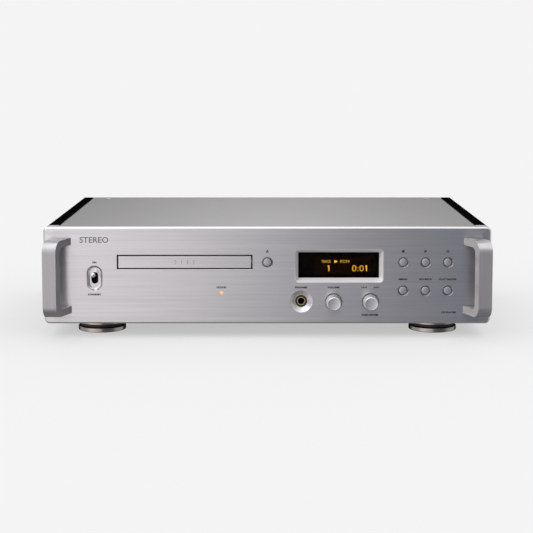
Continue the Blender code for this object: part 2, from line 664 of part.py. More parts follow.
# ================================================================ disc tray
def make_tray():
    width = OPENING_WIDTH - 2 * TRAY_FRONT_GAP
    height = OPENING_HEIGHT - 2 * TRAY_FRONT_GAP
    front_y = (FACE_Y + GAP, FACE_Y + GAP + TRAY_FRONT_THICK)
    x = (TRAY_X - width / 2, TRAY_X + width / 2)
    front = box("tray_front", x, front_y, (TRAY_Z - height / 2, TRAY_Z + height / 2), silver)
    edge = front.modifiers.new("edges", "BEVEL")
    edge.width = 0.5 * mm
    edge.segments = 1

    start = front_y[1] + GAP
    half = DECK_WIDTH / 2
    deck_x = (TRAY_X - half, TRAY_X + half)
    deck = box("disc_tray", deck_x, (start, DECK_END_Y), (DECK_LOW_Z, DECK_TOP_Z), black)
    flange = box(
        "tray_flange",
        (TRAY_X - half + 1 * mm, TRAY_X + half - 1 * mm),
        (start, start + 2 * mm),
        (RACK_LOW_Z, DECK_TOP_Z - 1 * mm),
        helper=True,
    )
    rack_y = (LOADER_Y - 8 * mm, LOADER_Y + TRAY_TRAVEL + 6 * mm)
    rack = rack_outline(TRAY_MODULE, RACK_X, RACK_X - 6 * mm, LOADER_Y, *rack_y)
    join(deck, flange, extruded("tray_rack", [rack], "XY", (RACK_LOW_Z, DECK_LOW_Z + OVER), helper=True))
    disc = (TRAY_X, DISC_Y, DECK_TOP_Z)
    slot_half = TRAY_SLOT_WIDTH / 2
    slot_end = DECK_END_Y - DISC_Y + OVER
    slot = [(slot_half, slot_end), (-slot_half, slot_end)]
    for i in range(13):
        a = math.pi + math.pi * i / 12
        slot.append((slot_half * math.cos(a), slot_half * math.sin(a)))
    pocket_z = (-DISC_POCKET_DEPTH, OVER)
    cut(
        deck,
        cylinder("disc_pocket", DISC_POCKET_RADIUS, disc, "Z", *pocket_z, helper=True, segments=40),
        extruded("tray_slot", [slot], "XY", (0, TOP_Z), where=(TRAY_X, DISC_Y), helper=True),
    )


# ================================================================ loader: frame, gear, belt and motor
def make_frame():
    """A channel with C-shaped rails for the tray, standing on four posts."""
    half = FRAME_WIDTH / 2
    inside = half - FRAME_WALL
    lip = DECK_WIDTH / 2 - RAIL_HOLD
    rail_z = DECK_LOW_Z - RAIL_PLAY
    lip_z = DECK_TOP_Z + RAIL_PLAY
    right = [
        (half, FRAME_LOW_Z),
        (half, FRAME_TOP_Z),
        (lip, FRAME_TOP_Z),
        (lip, lip_z),
        (inside, lip_z),
        (inside, rail_z),
        (lip, rail_z),
        (lip, rail_z - RAIL_LIP_THICK),
        (inside, rail_z - RAIL_LIP_THICK),
        (inside, FRAME_FLOOR_Z),
    ]
    section = right + [(-x, z) for x, z in reversed(right)]
    span = (FRAME_Y, FRAME_Y + FRAME_DEPTH)
    frame = extruded("mech_frame", [section], "XZ", span, steel, where=(TRAY_X, 0))
    inset = 10 * mm
    posts = [(sx, y) for sx in (-1, 1) for y in (FRAME_Y + inset, FRAME_Y + FRAME_DEPTH - inset)]
    for i, (sx, y) in enumerate(posts):
        spot = (TRAY_X + sx * (half - inset), y, 0)
        post_z = (INSIDE_FLOOR_Z, FRAME_LOW_Z + OVER)
        join(frame, cylinder(f"frame_post_{i}", 4 * mm, spot, "Z", *post_z, helper=True, segments=12))
    pivot = (LOADER_X, LOADER_Y, 0)
    pivot_z = (FRAME_LOW_Z + OVER, DECK_LOW_Z - OVER)
    join(frame, cylinder("gear_post", GEAR_POST_RADIUS, pivot, "Z", *pivot_z, helper=True, segments=16))
    low, high = traverse_span()
    open_x = (low[0] - TRAVERSE_ROOM, high[0] + TRAVERSE_ROOM)
    open_y = (low[1] - TRAVERSE_ROOM, high[1] + TRAVERSE_ROOM)
    floor_z = (FRAME_LOW_Z - OVER, FRAME_FLOOR_Z + OVER)
    motor = (LOADER_MOTOR_X, LOADER_Y, 0)
    cut(
        frame,
        box("traverse_opening", open_x, open_y, floor_z, helper=True),
        cylinder("motor_shaft_hole", 3 * mm, motor, "Z", *floor_z, helper=True, segments=16),
    )


def belt_loop(grow):
    """Outline of a belt round the gear's pulley and the motor's, grow outside their grooves."""
    big = PULLEY_RADIUS + grow
    small = MOTOR_PULLEY_RADIUS + grow
    lean = math.asin((big - small) / BELT_REACH)
    points = []
    start = math.pi / 2 - lean
    for i in range(17):
        a = start + (2 * math.pi - 2 * start) * i / 16
        points.append((big * math.cos(a), big * math.sin(a)))
    for i in range(9):
        a = -start + 2 * start * i / 8
        points.append((BELT_REACH + small * math.cos(a), small * math.sin(a)))
    return points


def motor_can(shaft_top, can_top, radius, height):
    """Profile of a small motor that stands upright, with its shaft."""
    return [
        (0, shaft_top),
        (MOTOR_SHAFT_RADIUS, shaft_top),
        (MOTOR_SHAFT_RADIUS, can_top),
        (radius, can_top),
        (radius, can_top - height),
        (0, can_top - height),
    ]


def make_loader_drive():
    """The gear that drives the tray's rack, with its pulley; the belt; and the motor."""
    teeth_z = (RACK_LOW_Z + GAP, DECK_LOW_Z - GAP)
    outline = gear_outline(TRAY_MODULE, math.pi)
    gear = extruded("loading_gear", [outline], "XY", teeth_z, nylon, where=(LOADER_X, LOADER_Y))
    groove_low = RACK_LOW_Z - 7 * mm
    groove_high = groove_low + 3 * mm
    high = groove_high + PULLEY_FLANGE
    low = groove_low - PULLEY_FLANGE
    hub_radius = 6 * mm
    big = PULLEY_RADIUS
    hub = [
        (0, teeth_z[0] + OVER),
        (hub_radius, teeth_z[0] + OVER),
        (hub_radius, high),
        (big + PULLEY_FLANGE, high),
        (big + PULLEY_FLANGE, groove_high),
        (big, groove_high),
        (big, groove_low),
        (big + PULLEY_FLANGE, groove_low),
        (big + PULLEY_FLANGE, low),
        (0, low),
    ]
    spot = (LOADER_X, LOADER_Y, 0)
    join(gear, turned("loader_pulley", hub, spot, "Z", helper=True, segments=28))
    cut(gear, cylinder("gear_bore", GEAR_POST_RADIUS + GAP, spot, "Z", 0, TOP_Z, helper=True, segments=16))

    motor = (LOADER_MOTOR_X, LOADER_Y, 0)
    bore = MOTOR_SHAFT_RADIUS + GAP
    small = MOTOR_PULLEY_RADIUS
    pulley = [
        (bore, high),
        (small + PULLEY_FLANGE, high),
        (small + PULLEY_FLANGE, groove_high),
        (small, groove_high),
        (small, groove_low),
        (small + PULLEY_FLANGE, groove_low),
        (small + PULLEY_FLANGE, low),
        (bore, low),
    ]
    turned("motor_pulley", pulley, motor, "Z", nylon, 14, closed=True)
    can = motor_can(groove_high, FRAME_LOW_Z - GAP, 12 * mm, 20 * mm)
    turned("loading_motor", can, motor, "Z", steel, 20)
    loops = [belt_loop(GAP + BELT_THICK), belt_loop(GAP)]
    belt_z = (groove_low + GAP, groove_high - GAP)
    extruded("drive_belt", loops, "XY", belt_z, rubber, where=(LOADER_X, LOADER_Y))


# ================================================================ spindle above the tray
def make_spindle():
    half = FRAME_WIDTH / 2
    leg = 4 * mm
    low = FRAME_TOP_Z + GAP
    high = BRIDGE_Z + BRIDGE_THICK
    arch = [
        (-half, low),
        (-half + leg, low),
        (-half + leg, BRIDGE_Z),
        (half - leg, BRIDGE_Z),
        (half - leg, low),
        (half, low),
        (half, high),
        (-half, high),
    ]
    y = (DISC_Y - BRIDGE_DEPTH / 2, DISC_Y + BRIDGE_DEPTH / 2)
    extruded("clamp_bridge", [arch], "XZ", y, steel, where=(TRAY_X, 0))
    centre = (TRAY_X, DISC_Y, 0)
    top = SPINDLE_Z + SPINDLE_MOTOR_HEIGHT
    shaft_end = TURNTABLE_Z + 1.5 * mm
    motor = [
        (0, top),
        (SPINDLE_MOTOR_RADIUS, top),
        (SPINDLE_MOTOR_RADIUS, SPINDLE_Z),
        (1.5 * mm, SPINDLE_Z),
        (1.5 * mm, shaft_end),
        (0, shaft_end),
    ]
    turned("spindle_motor", motor, centre, "Z", steel, 28)
    bore = 1.5 * mm + GAP
    plate = [
        (0, shaft_end - GAP),
        (bore, shaft_end - GAP),
        (bore, TURNTABLE_Z + TURNTABLE_THICK),
        (TURNTABLE_RADIUS, TURNTABLE_Z + TURNTABLE_THICK),
        (TURNTABLE_RADIUS, TURNTABLE_Z),
        (0, TURNTABLE_Z),
    ]
    turned("turntable", plate, centre, "Z", silver, 32)


# ================================================================ traverse below the tray
def traverse_span():
    """Lowest and highest (x, y) of the traverse's plate."""
    rear = PICKUP_Y + PICKUP_HALF + PICKUP_TRAVEL + 10 * mm
    return (TRAY_X - ROD_SPREAD - 6 * mm, DISC_Y - 17 * mm), (SLED_X + 11 * mm, rear)


def make_traverse():
    """The plate that lifts, with its two rods, the clamper's boss and the sled motor."""
    low, high = traverse_span()
    plate_low = FRAME_LOW_Z + 0.5 * mm
    plate_high = FRAME_FLOOR_Z
    rod_z = plate_high + ROD_RISE
    plate = box("traverse_plate", (low[0], high[0]), (low[1], high[1]), (plate_low, plate_high), steel)
    front_lug = PICKUP_Y - PICKUP_HALF - OVER
    rear_lug = PICKUP_Y + PICKUP_HALF + PICKUP_TRAVEL + OVER
    lugs_y = [(front_lug - LUG_THICK, front_lug), (rear_lug, rear_lug + LUG_THICK)]
    lug_z = (plate_high - OVER, rod_z + LUG_HALF)
    for i, (sx, y) in enumerate([(sx, y) for sx in (-1, 1) for y in lugs_y]):
        x = TRAY_X + sx * ROD_SPREAD
        join(plate, box(f"rod_lug_{i}", (x - LUG_HALF, x + LUG_HALF), y, lug_z, helper=True))
    centre = (TRAY_X, DISC_Y, 0)
    clamper_top = TURNTABLE_Z - CLAMPER_DROP
    boss_z = (plate_high - OVER, clamper_top - 8 * mm)
    join(plate, cylinder("clamper_boss", 5 * mm, centre, "Z", *boss_z, helper=True, segments=20))
    sled = (SLED_X, SLED_Y, 0)
    clamper_shaft = 2 * mm
    shaft_hole = MOTOR_SHAFT_RADIUS + 0.6 * mm
    cut(
        plate,
        cylinder("clamper_bore", clamper_shaft + GAP, centre, "Z", 0, TOP_Z, helper=True, segments=16),
        cylinder("sled_shaft_hole", shaft_hole, sled, "Z", 0, TOP_Z, helper=True, segments=12),
    )
    rod_start = lugs_y[0][0]
    rod_length = lugs_y[1][1] - rod_start
    bore_y = (-OVER, rod_length + OVER)
    bores = []
    for side, sx in (("left", -1), ("right", 1)):
        spot = (TRAY_X + sx * ROD_SPREAD, rod_start, rod_z)
        cylinder("guide_rod_" + side, ROD_RADIUS, spot, "Y", 0, rod_length, steel, 16)
        bore = cylinder(side + "_rod_bore", ROD_RADIUS + GAP, spot, "Y", *bore_y, helper=True, segments=16)
        bores.append(bore)
    cut(plate, *bores)
    make_pickup(rod_z, clamper_top - 0.5 * mm, bores)

    gear_z = (rod_z - 2.8 * mm, rod_z + 0.3 * mm)
    outline = gear_outline(SLED_MODULE, math.pi)
    gear = extruded("sled_gear", [outline], "XY", gear_z, nylon, where=sled[:2])
    cut(gear, cylinder("sled_bore", MOTOR_SHAFT_RADIUS + GAP, sled, "Z", 0, TOP_Z, helper=True, segments=12))
    turned("sled_motor", motor_can(gear_z[1], plate_low - GAP, 8 * mm, 16 * mm), sled, "Z", steel, 20)
    pad_low = clamper_top - 4.5 * mm
    pad = [
        (0, clamper_top),
        (CLAMPER_RADIUS, clamper_top),
        (CLAMPER_RADIUS, pad_low),
        (clamper_shaft, pad_low),
        (clamper_shaft, plate_high + 3 * mm),
        (0, plate_high + 3 * mm),
    ]
    turned("clamper", pad, centre, "Z", rubber, 24)


def make_pickup(rod_z, lens_top, bores):
    """A sled on the rods, with the lens block on it and its rack at the side."""
    half = ROD_SPREAD + 4 * mm
    sled_z = (rod_z - 4 * mm, rod_z + 4.5 * mm)
    sled_y = (PICKUP_Y - PICKUP_HALF, PICKUP_Y + PICKUP_HALF)
    pickup = box("pickup", (TRAY_X - half, TRAY_X + half), sled_y, sled_z, nylon)
    block_x = (TRAY_X - 8 * mm, TRAY_X + 8 * mm)
    block_y = (PICKUP_Y - 6 * mm, PICKUP_Y + 6 * mm)
    block = box("lens_block", block_x, block_y, (sled_z[1] - OVER, lens_top - 1.5 * mm), helper=True)
    lens_z = (lens_top - 2 * mm, lens_top)
    lens = cylinder("lens", 2.5 * mm, (TRAY_X, PICKUP_Y, 0), "Z", *lens_z, helper=True, segments=16)
    rack_back = TRAY_X + ROD_SPREAD + LUG_HALF + 0.4 * mm
    rack_y = (SLED_Y - PICKUP_TRAVEL - 4 * mm, sled_y[1])
    rack = rack_outline(SLED_MODULE, SLED_RACK_X, rack_back, SLED_Y, *rack_y)
    rack_z = (rod_z - 3 * mm, rod_z + 0.5 * mm)
    arm_x = (TRAY_X + half - 2 * mm, rack_back + 0.6 * mm)
    arm_y = (sled_y[0] + OVER, sled_y[1] - OVER)
    arm = box("rack_arm", arm_x, arm_y, (rack_z[0] + 0.5 * mm, rack_z[1] - 0.5 * mm), helper=True)
    join(pickup, block, lens, arm, extruded("sled_rack", [rack], "XY", rack_z, helper=True))
    cut(pickup, *bores)


# ================================================================ controls
def make_switch():
    """The power switch: a body behind the panel and a lever that tilts in the slot."""
    body_y = (PANEL_BACK_Y + GAP, PANEL_BACK_Y + 22 * mm)
    body_x = (SWITCH_X - 7 * mm, SWITCH_X + 7 * mm)
    body = box("toggle_switch", body_x, body_y, (SWITCH_Z - 11 * mm, SWITCH_Z + 11 * mm), black)
    room_x = (SWITCH_X - 3.5 * mm, SWITCH_X + 3.5 * mm)
    room_y = (body_y[0] - OVER, body_y[0] + 5 * mm)
    cut(body, box("lever_room", room_x, room_y, (SWITCH_Z - 6 * mm, SWITCH_Z + 6 * mm), helper=True))
    pivot = PANEL_THICK / 2 + 0.5 * mm
    tip = pivot + LEVER_REACH
    lever = [(0, tip)]
    for i in range(1, 5):
        a = math.pi / 2 * i / 4
        lever.append((LEVER_BALL * math.sin(a), tip - LEVER_BALL + LEVER_BALL * math.cos(a)))
    neck = 1.4 * mm
    collar = 2.4 * mm
    tail = -PANEL_THICK / 2 - 2.5 * mm
    lever += [(LEVER_BALL, tip - 5 * mm), (neck, 2.5 * mm), (collar, 0.8 * mm), (collar, -0.8 * mm)]
    lever += [(neck, -2.5 * mm), (neck, tail), (0, tail)]
    obj = turned("toggle_lever", lever, (SWITCH_X, FACE_Y + pivot, SWITCH_Z), "-Y", steel, 14)
    obj.rotation_euler.x -= LEVER_TILT


def make_display():
    half_w = WINDOW_WIDTH / 2
    half_h = WINDOW_HEIGHT / 2
    glass_y = FACE_Y + WINDOW_DEPTH + GAP
    x = (WINDOW_X - half_w, WINDOW_X + half_w)
    z = (WINDOW_Z - half_h, WINDOW_Z + half_h)
    box("display_window", x, (glass_y, glass_y + GLASS_THICK), z, smoked)
    module_y = (glass_y + GLASS_THICK + GAP, BOARD_Y - GAP)
    box("display_module", (x[0] + 1 * mm, x[1] - 1 * mm), module_y, (z[0] + 1 * mm, z[1] - 1 * mm), black)


def make_jack():
    """A round nose in the panel's dish and a block behind the panel, with one bore in both."""
    spot = (JACK_X, FACE_Y, LOWER_ROW_Z)
    nose = (-PANEL_THICK - 2 * mm, -JACK_DISH_DEPTH - GAP)
    sleeve = cylinder("headphone_jack", JACK_SLEEVE_RADIUS, spot, "-Y", *nose, black)
    x = (JACK_X - SOCKET_BLOCK, JACK_X + SOCKET_BLOCK)
    y = (PANEL_BACK_Y + GAP, FACE_Y + JACK_DEPTH + 4 * mm)
    z = (LOWER_ROW_Z - SOCKET_BLOCK, LOWER_ROW_Z + SOCKET_BLOCK)
    join(sleeve, box("jack_block", x, y, z, helper=True))
    cut(sleeve, cylinder("jack_bore", JACK_BORE_RADIUS, spot, "-Y", -JACK_DEPTH, OVER, helper=True))


def knob_profile():
    """Outer side of a knob from its face down to its back, heights measured out of the panel."""
    return [
        (0, KNOB_REACH),
        (KNOB_RADIUS - 1.4 * mm, KNOB_REACH),
        (KNOB_RADIUS - 0.7 * mm, KNOB_REACH - 0.7 * mm),
        (KNOB_RADIUS, KNOB_REACH - 9 * mm),
        (KNOB_RADIUS, KNOB_BACK),
    ]


def make_knobs():
    stop = -(CONTACT_Y - FACE_Y - GAP)
    volume = knob_profile() + [(SHAFT_RADIUS, KNOB_BACK), (SHAFT_RADIUS, stop), (0, stop)]
    turned("volume_knob", volume, (VOLUME_X, FACE_Y, LOWER_ROW_Z), "-Y", silver, 24)
    socket = KNOB_REACH - 5 * mm
    bore = SHAFT_RADIUS + GAP
    skip = knob_profile() + [(bore, KNOB_BACK), (bore, socket), (0, socket)]
    spot = (SKIP_X, FACE_Y, LOWER_ROW_Z)
    turned("skip_knob", skip, spot, "-Y", silver, 24)
    cylinder("skip_shaft", SHAFT_RADIUS, spot, "-Y", stop + PUSH_TRAVEL, socket - GAP, steel, 20)


def make_buttons():
    """Each button is a cap on a thin stem that reaches its switch on the control board."""
    stem_end = -(CONTACT_Y - FACE_Y - GAP - BUTTON_TRAVEL)
    cap_back = -PANEL_THICK + 4 * mm
    profile = [
        (0, BUTTON_PROUD),
        (BUTTON_RADIUS - 0.3 * mm, BUTTON_PROUD),
        (BUTTON_RADIUS, BUTTON_PROUD - 0.3 * mm),
        (BUTTON_RADIUS, cap_back),
        (1.5 * mm, cap_back),
        (1.5 * mm, stem_end),
        (0, stem_end),
    ]
    for name, (x, z) in BUTTONS.items():
        turned(name + "_button", profile, (x, FACE_Y, z), "-Y", silver, 14)
    led = (LED_X, FACE_Y, LED_Z)
    cylinder("clock_led", LED_RADIUS, led, "-Y", -PANEL_THICK - 3 * mm, 0, amber, 12)


def make_control_board():
    """The board behind the panel, with a switch for each button and an encoder for each knob."""
    x = (EJECT_X - 6 * mm, BUTTON_COLUMNS_X[-1] + 10 * mm)
    z = (LOWER_ROW_Z - 12 * mm, TRAY_Z + 12 * mm)
    board = box("control_board", x, (BOARD_Y, BOARD_Y + BOARD_THICK), z, green)
    places = [(name, spot, 3 * mm) for name, spot in BUTTONS.items()]
    places += [("volume", (VOLUME_X, LOWER_ROW_Z), 6 * mm), ("skip", (SKIP_X, LOWER_ROW_Z), 6 * mm)]
    contact_y = (CONTACT_Y, BOARD_Y + BOARD_THICK / 2)
    for name, (cx, cz), half in places:
        contact_x = (cx - half, cx + half)
        join(board, box(name + "_contact", contact_x, contact_y, (cz - half, cz + half), helper=True))
    half = SOCKET_BLOCK + OVER
    room_x = (JACK_X - half, JACK_X + half)
    room_y = (BOARD_Y - OVER, BOARD_Y + BOARD_THICK + OVER)
    room_z = (LOWER_ROW_Z - half, LOWER_ROW_Z + half)
    cut(board, box("jack_clearance", room_x, room_y, room_z, helper=True))


# ================================================================ power supply and signal boards
def post(name, x, y, top):
    """A post that carries a board over the floor of the case."""
    return cylinder(name, POST_RADIUS, (x, y, 0), "Z", INSIDE_FLOOR_Z, top, helper=True, segments=12)


def make_transformer():
    """A ring-shaped transformer, lying on the floor in the rear left corner."""
    high = INSIDE_FLOOR_Z + TRANSFORMER_HEIGHT
    y = REAR_IN_Y - TRANSFORMER_RADIUS - 12 * mm
    edge = 4 * mm
    ring = [
        (TRANSFORMER_BORE, high),
        (TRANSFORMER_RADIUS - edge, high),
        (TRANSFORMER_RADIUS, high - edge),
        (TRANSFORMER_RADIUS, INSIDE_FLOOR_Z + edge),
        (TRANSFORMER_RADIUS - edge, INSIDE_FLOOR_Z),
        (TRANSFORMER_BORE, INSIDE_FLOOR_Z),
    ]
    turned("transformer", ring, (TRANSFORMER_X, y, 0), "Z", copper, 24, closed=True)


def make_power_board():
    """A board on two posts behind the mechanism, with three large capacitors."""
    low_x, high_x = POWER_BOARD_X
    y = (FRAME_Y + FRAME_DEPTH + 6 * mm, REAR_IN_Y - 6 * mm)
    middle_y = (y[0] + y[1]) / 2
    stand_z = INSIDE_FLOOR_Z + BOARD_STAND
    deck = stand_z + BOARD_THICK
    board = box("power_board", POWER_BOARD_X, y, (stand_z, deck), green)
    for i in range(3):
        spot = (low_x + 24 * mm + 34 * mm * i, middle_y, deck)
        tall = (-OVER, CAPACITOR_HEIGHT)
        join(board, cylinder(f"smoothing_{i}", CAPACITOR_RADIUS, spot, "Z", *tall, helper=True, segments=20))
    for i, x in enumerate((low_x + 6 * mm, high_x - 6 * mm)):
        join(board, post(f"power_post_{i}", x, middle_y, stand_z + OVER))


# Each part on the main board: its place as a share of the board, and its width, depth and height
CHIPS = [(0.2, 0.25, 14, 14, 3), (0.45, 0.3, 20, 20, 2.4), (0.7, 0.35, 12, 12, 3), (0.3, 0.6, 28, 18, 12)]


def make_main_board():
    """The signal board on four posts, with chips and filter capacitors."""
    low = Vector((MAIN_BOARD_START_X, BOARD_Y + 50 * mm))
    high = Vector((SIDE_IN_X - SOCKET_BLOCK, REAR_IN_Y - 6 * mm))
    stand_z = INSIDE_FLOOR_Z + BOARD_STAND
    deck = stand_z + BOARD_THICK
    board = box("main_board", (low.x, high.x), (low.y, high.y), (stand_z, deck), green)
    for i, (share_x, share_y, wide, deep, tall) in enumerate(CHIPS):
        cx = low.x + share_x * (high.x - low.x)
        cy = low.y + share_y * (high.y - low.y)
        chip_x = (cx - wide * mm / 2, cx + wide * mm / 2)
        chip_y = (cy - deep * mm / 2, cy + deep * mm / 2)
        join(board, box(f"chip_{i}", chip_x, chip_y, (deck - OVER, deck + tall * mm), helper=True))
    for i in range(4):
        cx = low.x + (high.x - low.x) * (0.55 + 0.12 * i)
        spot = (cx, low.y + 0.62 * (high.y - low.y), deck)
        join(board, cylinder(f"filter_{i}", 5 * mm, spot, "Z", -OVER, 14 * mm, helper=True, segments=16))
    inset = 6 * mm
    corners = [(x, y) for x in (low.x + inset, high.x - inset) for y in (low.y + inset, high.y - inset)]
    for i, (x, y) in enumerate(corners):
        join(board, post(f"main_post_{i}", x, y, stand_z + OVER))


# ================================================================ rear sockets
def phono(name, x, bore=PHONO_BORE):
    """A plug barrel standing out of the rear panel, with a blind bore for the plug's pin."""
    floor = SOCKET_REACH - SOCKET_BLOCK
    root = -REAR_THICK - 2 * mm
    profile = [
        (0, floor),
        (bore, floor),
        (bore, SOCKET_REACH),
        (PHONO_RADIUS, SOCKET_REACH),
        (PHONO_RADIUS, root),
        (0, root),
    ]
    return turned(name, profile, (x, REAR_Y, SOCKET_Z), "Y", helper=True, segments=20)


def block_behind(name, x0, x1):
    """The moulded body of a row of sockets, inside the rear panel."""
    y = (REAR_IN_Y - SOCKET_DEPTH, REAR_IN_Y - GAP)
    return box(name, (x0, x1), y, (SOCKET_Z - SOCKET_BLOCK, SOCKET_Z + SOCKET_BLOCK), black)


def box_round(name, x, z, half_width, half_height, y, helper=True, finish=None):
    """A box centred on x and z, from one y to another."""
    wide = (x - half_width, x + half_width)
    high = (z - half_height, z + half_height)
    return box(name, wide, y, high, finish, helper)


def round_hole(name, x, radius, segments=20):
    """Cuts the rear panel round a socket, with the touching gap."""
    y = (-REAR_THICK - OVER, OVER)
    spot = (x, REAR_Y, SOCKET_Z)
    return cylinder(name, radius + GAP, spot, "Y", *y, helper=True, segments=segments)


def make_plug_rows(rear, hole_y):
    """The phono, coaxial and optical sockets, on two moulded bodies."""
    analog = block_behind("analog_jacks", PHONO_X[-1] - SOCKET_BLOCK, PHONO_X[0] + SOCKET_BLOCK)
    digital = block_behind("digital_jacks", OPTICAL_X[-1] - SOCKET_BLOCK, COAX_X[0] + SOCKET_BLOCK)
    for block, name, places in ((analog, "analog", PHONO_X), (digital, "coax", COAX_X)):
        for i, x in enumerate(places):
            join(block, phono(f"{name}_barrel_{i}", x))
            cut(rear, round_hole(f"{name}_hole_{i}", x, PHONO_RADIUS))
    nose_y = (REAR_IN_Y - OVER, REAR_Y + 2 * mm)
    bore_y = (REAR_IN_Y - 8 * mm, nose_y[1] + OVER)
    room = OPTICAL_HALF + GAP
    for i, x in enumerate(OPTICAL_X):
        join(digital, box_round(f"optical_{i}", x, SOCKET_Z, OPTICAL_HALF, OPTICAL_HALF, nose_y))
        cut(rear, box_round(f"optical_hole_{i}", x, SOCKET_Z, room, room, hole_y))
    for i, x in enumerate(OPTICAL_X):
        cut(digital, box_round(f"optical_bore_{i}", x, SOCKET_Z, OPTICAL_BORE, OPTICAL_BORE, bore_y))


def make_balanced(rear, side, x):
    """A three-pin balanced socket."""
    spot = (x, REAR_Y, SOCKET_Z)
    floor = -SOCKET_DEPTH + 4 * mm
    lip = 2 * mm
    shell = [
        (0, floor),
        (BALANCED_CUP, floor),
        (BALANCED_CUP, lip),
        (BALANCED_RADIUS, lip),
        (BALANCED_RADIUS, -SOCKET_DEPTH),
        (0, -SOCKET_DEPTH),
    ]
    socket = turned("xlr_output_" + side, shell, spot, "Y", black, 28)
    pin_circle = 3.6 * mm
    for i in range(3):
        a = math.radians(90 + 120 * i)
        pin = (x + pin_circle * math.cos(a), REAR_Y, SOCKET_Z + pin_circle * math.sin(a))
        pin_y = (floor - OVER, -4 * mm)
        join(socket, cylinder(f"{side}_pin_{i}", 1.2 * mm, pin, "Y", *pin_y, helper=True, segments=10))
    cut(rear, round_hole(side + "_balanced_hole", x, BALANCED_RADIUS, 28))


def make_usb(rear, hole_y):
    """A square USB socket with its tongue."""
    y = (REAR_IN_Y - SOCKET_DEPTH + 4 * mm, REAR_Y + 1 * mm)
    mouth_y = (y[1] - 9 * mm, y[1] + OVER)
    tongue_y = (mouth_y[0] - OVER, y[1] - 1 * mm)
    port = box_round("usb_port", USB_X, SOCKET_Z, USB_HALF, USB_HALF, y, False, steel)
    cut(port, box_round("usb_mouth", USB_X, SOCKET_Z, USB_MOUTH, USB_MOUTH, mouth_y))
    join(port, box_round("usb_tongue", USB_X, SOCKET_Z, 2.8 * mm, 1.6 * mm, tongue_y))
    room = USB_HALF + GAP
    cut(rear, box_round("usb_hole", USB_X, SOCKET_Z, room, room, hole_y))


def make_clock_input(rear):
    """A coaxial socket with a nut, for an outside clock."""
    nut = 8 * mm
    nut_high = 1.5 * mm
    floor = SOCKET_REACH - 8 * mm
    tail = -14 * mm
    profile = [
        (0, floor),
        (CLOCK_BORE, floor),
        (CLOCK_BORE, SOCKET_REACH),
        (CLOCK_RADIUS, SOCKET_REACH),
        (CLOCK_RADIUS, nut_high),
        (nut, nut_high),
        (nut, GAP),
        (CLOCK_RADIUS, GAP),
        (CLOCK_RADIUS, tail),
        (0, tail),
    ]
    turned("clock_input", profile, (CLOCK_X, REAR_Y, SOCKET_Z), "Y", steel, 16)
    cut(rear, round_hole("clock_hole", CLOCK_X, CLOCK_RADIUS))


def make_inlet(rear, hole_y):
    """The mains inlet: a cup with three blades."""
    half_w = INLET_WIDTH / 2
    half_h = INLET_HEIGHT / 2
    y = (REAR_IN_Y - SOCKET_DEPTH, REAR_Y + 2 * mm)
    floor_y = y[1] - 17 * mm
    cup_y = (floor_y, y[1] + OVER)
    inlet = box_round("ac_inlet", INLET_X, INLET_Z, half_w, half_h, y, False, black)
    cut(inlet, box_round("inlet_cup", INLET_X, INLET_Z, half_w - INLET_RIM, half_h - INLET_RIM, cup_y))
    blade_y = (floor_y - OVER, y[1] - 6 * mm)
    for i, (dx, dz) in enumerate(((-7, -2), (7, -2), (0, 2))):
        x, z = INLET_X + dx * mm, INLET_Z + dz * mm
        join(inlet, box_round(f"blade_{i}", x, z, 1 * mm, 2 * mm, blade_y))
    cut(rear, box_round("inlet_hole", INLET_X, INLET_Z, half_w + GAP, half_h + GAP, hole_y))


def make_rear():
    """Rear panel with all its sockets. A hole for each leaves the touching gap round it."""
    x = (-SIDE_IN_X + GAP, SIDE_IN_X - GAP)
    rear = box("rear_panel", x, (REAR_IN_Y, REAR_Y), (BASE_Z, UNDER_TOP_Z - GAP), black)
    hole_y = (REAR_IN_Y - OVER, REAR_Y + OVER)
    make_plug_rows(rear, hole_y)
    for side, socket_x in BALANCED_X.items():
        make_balanced(rear, side, socket_x)
    make_usb(rear, hole_y)
    make_clock_input(rear)
    make_inlet(rear, hole_y)


# ================================================================ build
for old in list(bpy.data.objects):
    bpy.data.objects.remove(old)
parts = bpy.data.collections.new("cd_player")
cutters = bpy.data.collections.new("cutters")
bpy.context.scene.collection.children.link(parts)
bpy.context.scene.collection.children.link(cutters)

silver = material("brushed aluminium", (0.62, 0.61, 0.61), 0.3, 1.0)
black = material("black", (0.012, 0.012, 0.013), 0.45)
bronze = material("dark nickel", (0.32, 0.29, 0.27), 0.25, 1.0)
steel = material("zinc-plated steel", (0.5, 0.5, 0.5), 0.4, 1.0)
nylon = material("white nylon", (0.75, 0.74, 0.7), 0.5)
rubber = material("rubber", (0.02, 0.02, 0.02), 0.8)
green = material("circuit board", (0.02, 0.14, 0.06), 0.5)
copper = material("transformer tape", (0.35, 0.16, 0.05), 0.5)
smoked = material("smoked window", (0.01, 0.01, 0.012), 0.08)
amber = material("amber light", (1.0, 0.45, 0.1), 0.4)

upper, lower = BUTTON_ROWS_Z["upper"], BUTTON_ROWS_Z["lower"]
BUTTONS = {"eject": (EJECT_X, upper)}
BUTTONS.update({name: (x, upper) for name, x in zip(("stop", "play", "pause"), BUTTON_COLUMNS_X)})
BUTTONS.update({name: (x, lower) for name, x in zip(("menu", "source", "play_mode"), BUTTON_COLUMNS_X)})

make_case()
make_feet()
make_tray()
make_frame()
make_loader_drive()
make_spindle()
make_traverse()
make_switch()
make_display()
make_jack()
make_knobs()
make_buttons()
make_control_board()
make_transformer()
make_power_board()
make_main_board()
make_rear()
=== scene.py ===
# %% [markdown]
# # A hi-fi CD player
#
# This lesson dresses a working model of a CD player. The model comes from a frame of plain solids: a
# case, a disc tray, knobs, buttons, handles, feet and the disc mechanism. The frame says where each
# piece is and how it moves. Here each visible piece gets a finer mesh and a finish made of nodes.
#
# The player faces -Y, +X is to its right and +Z is up. All sizes are in metres.

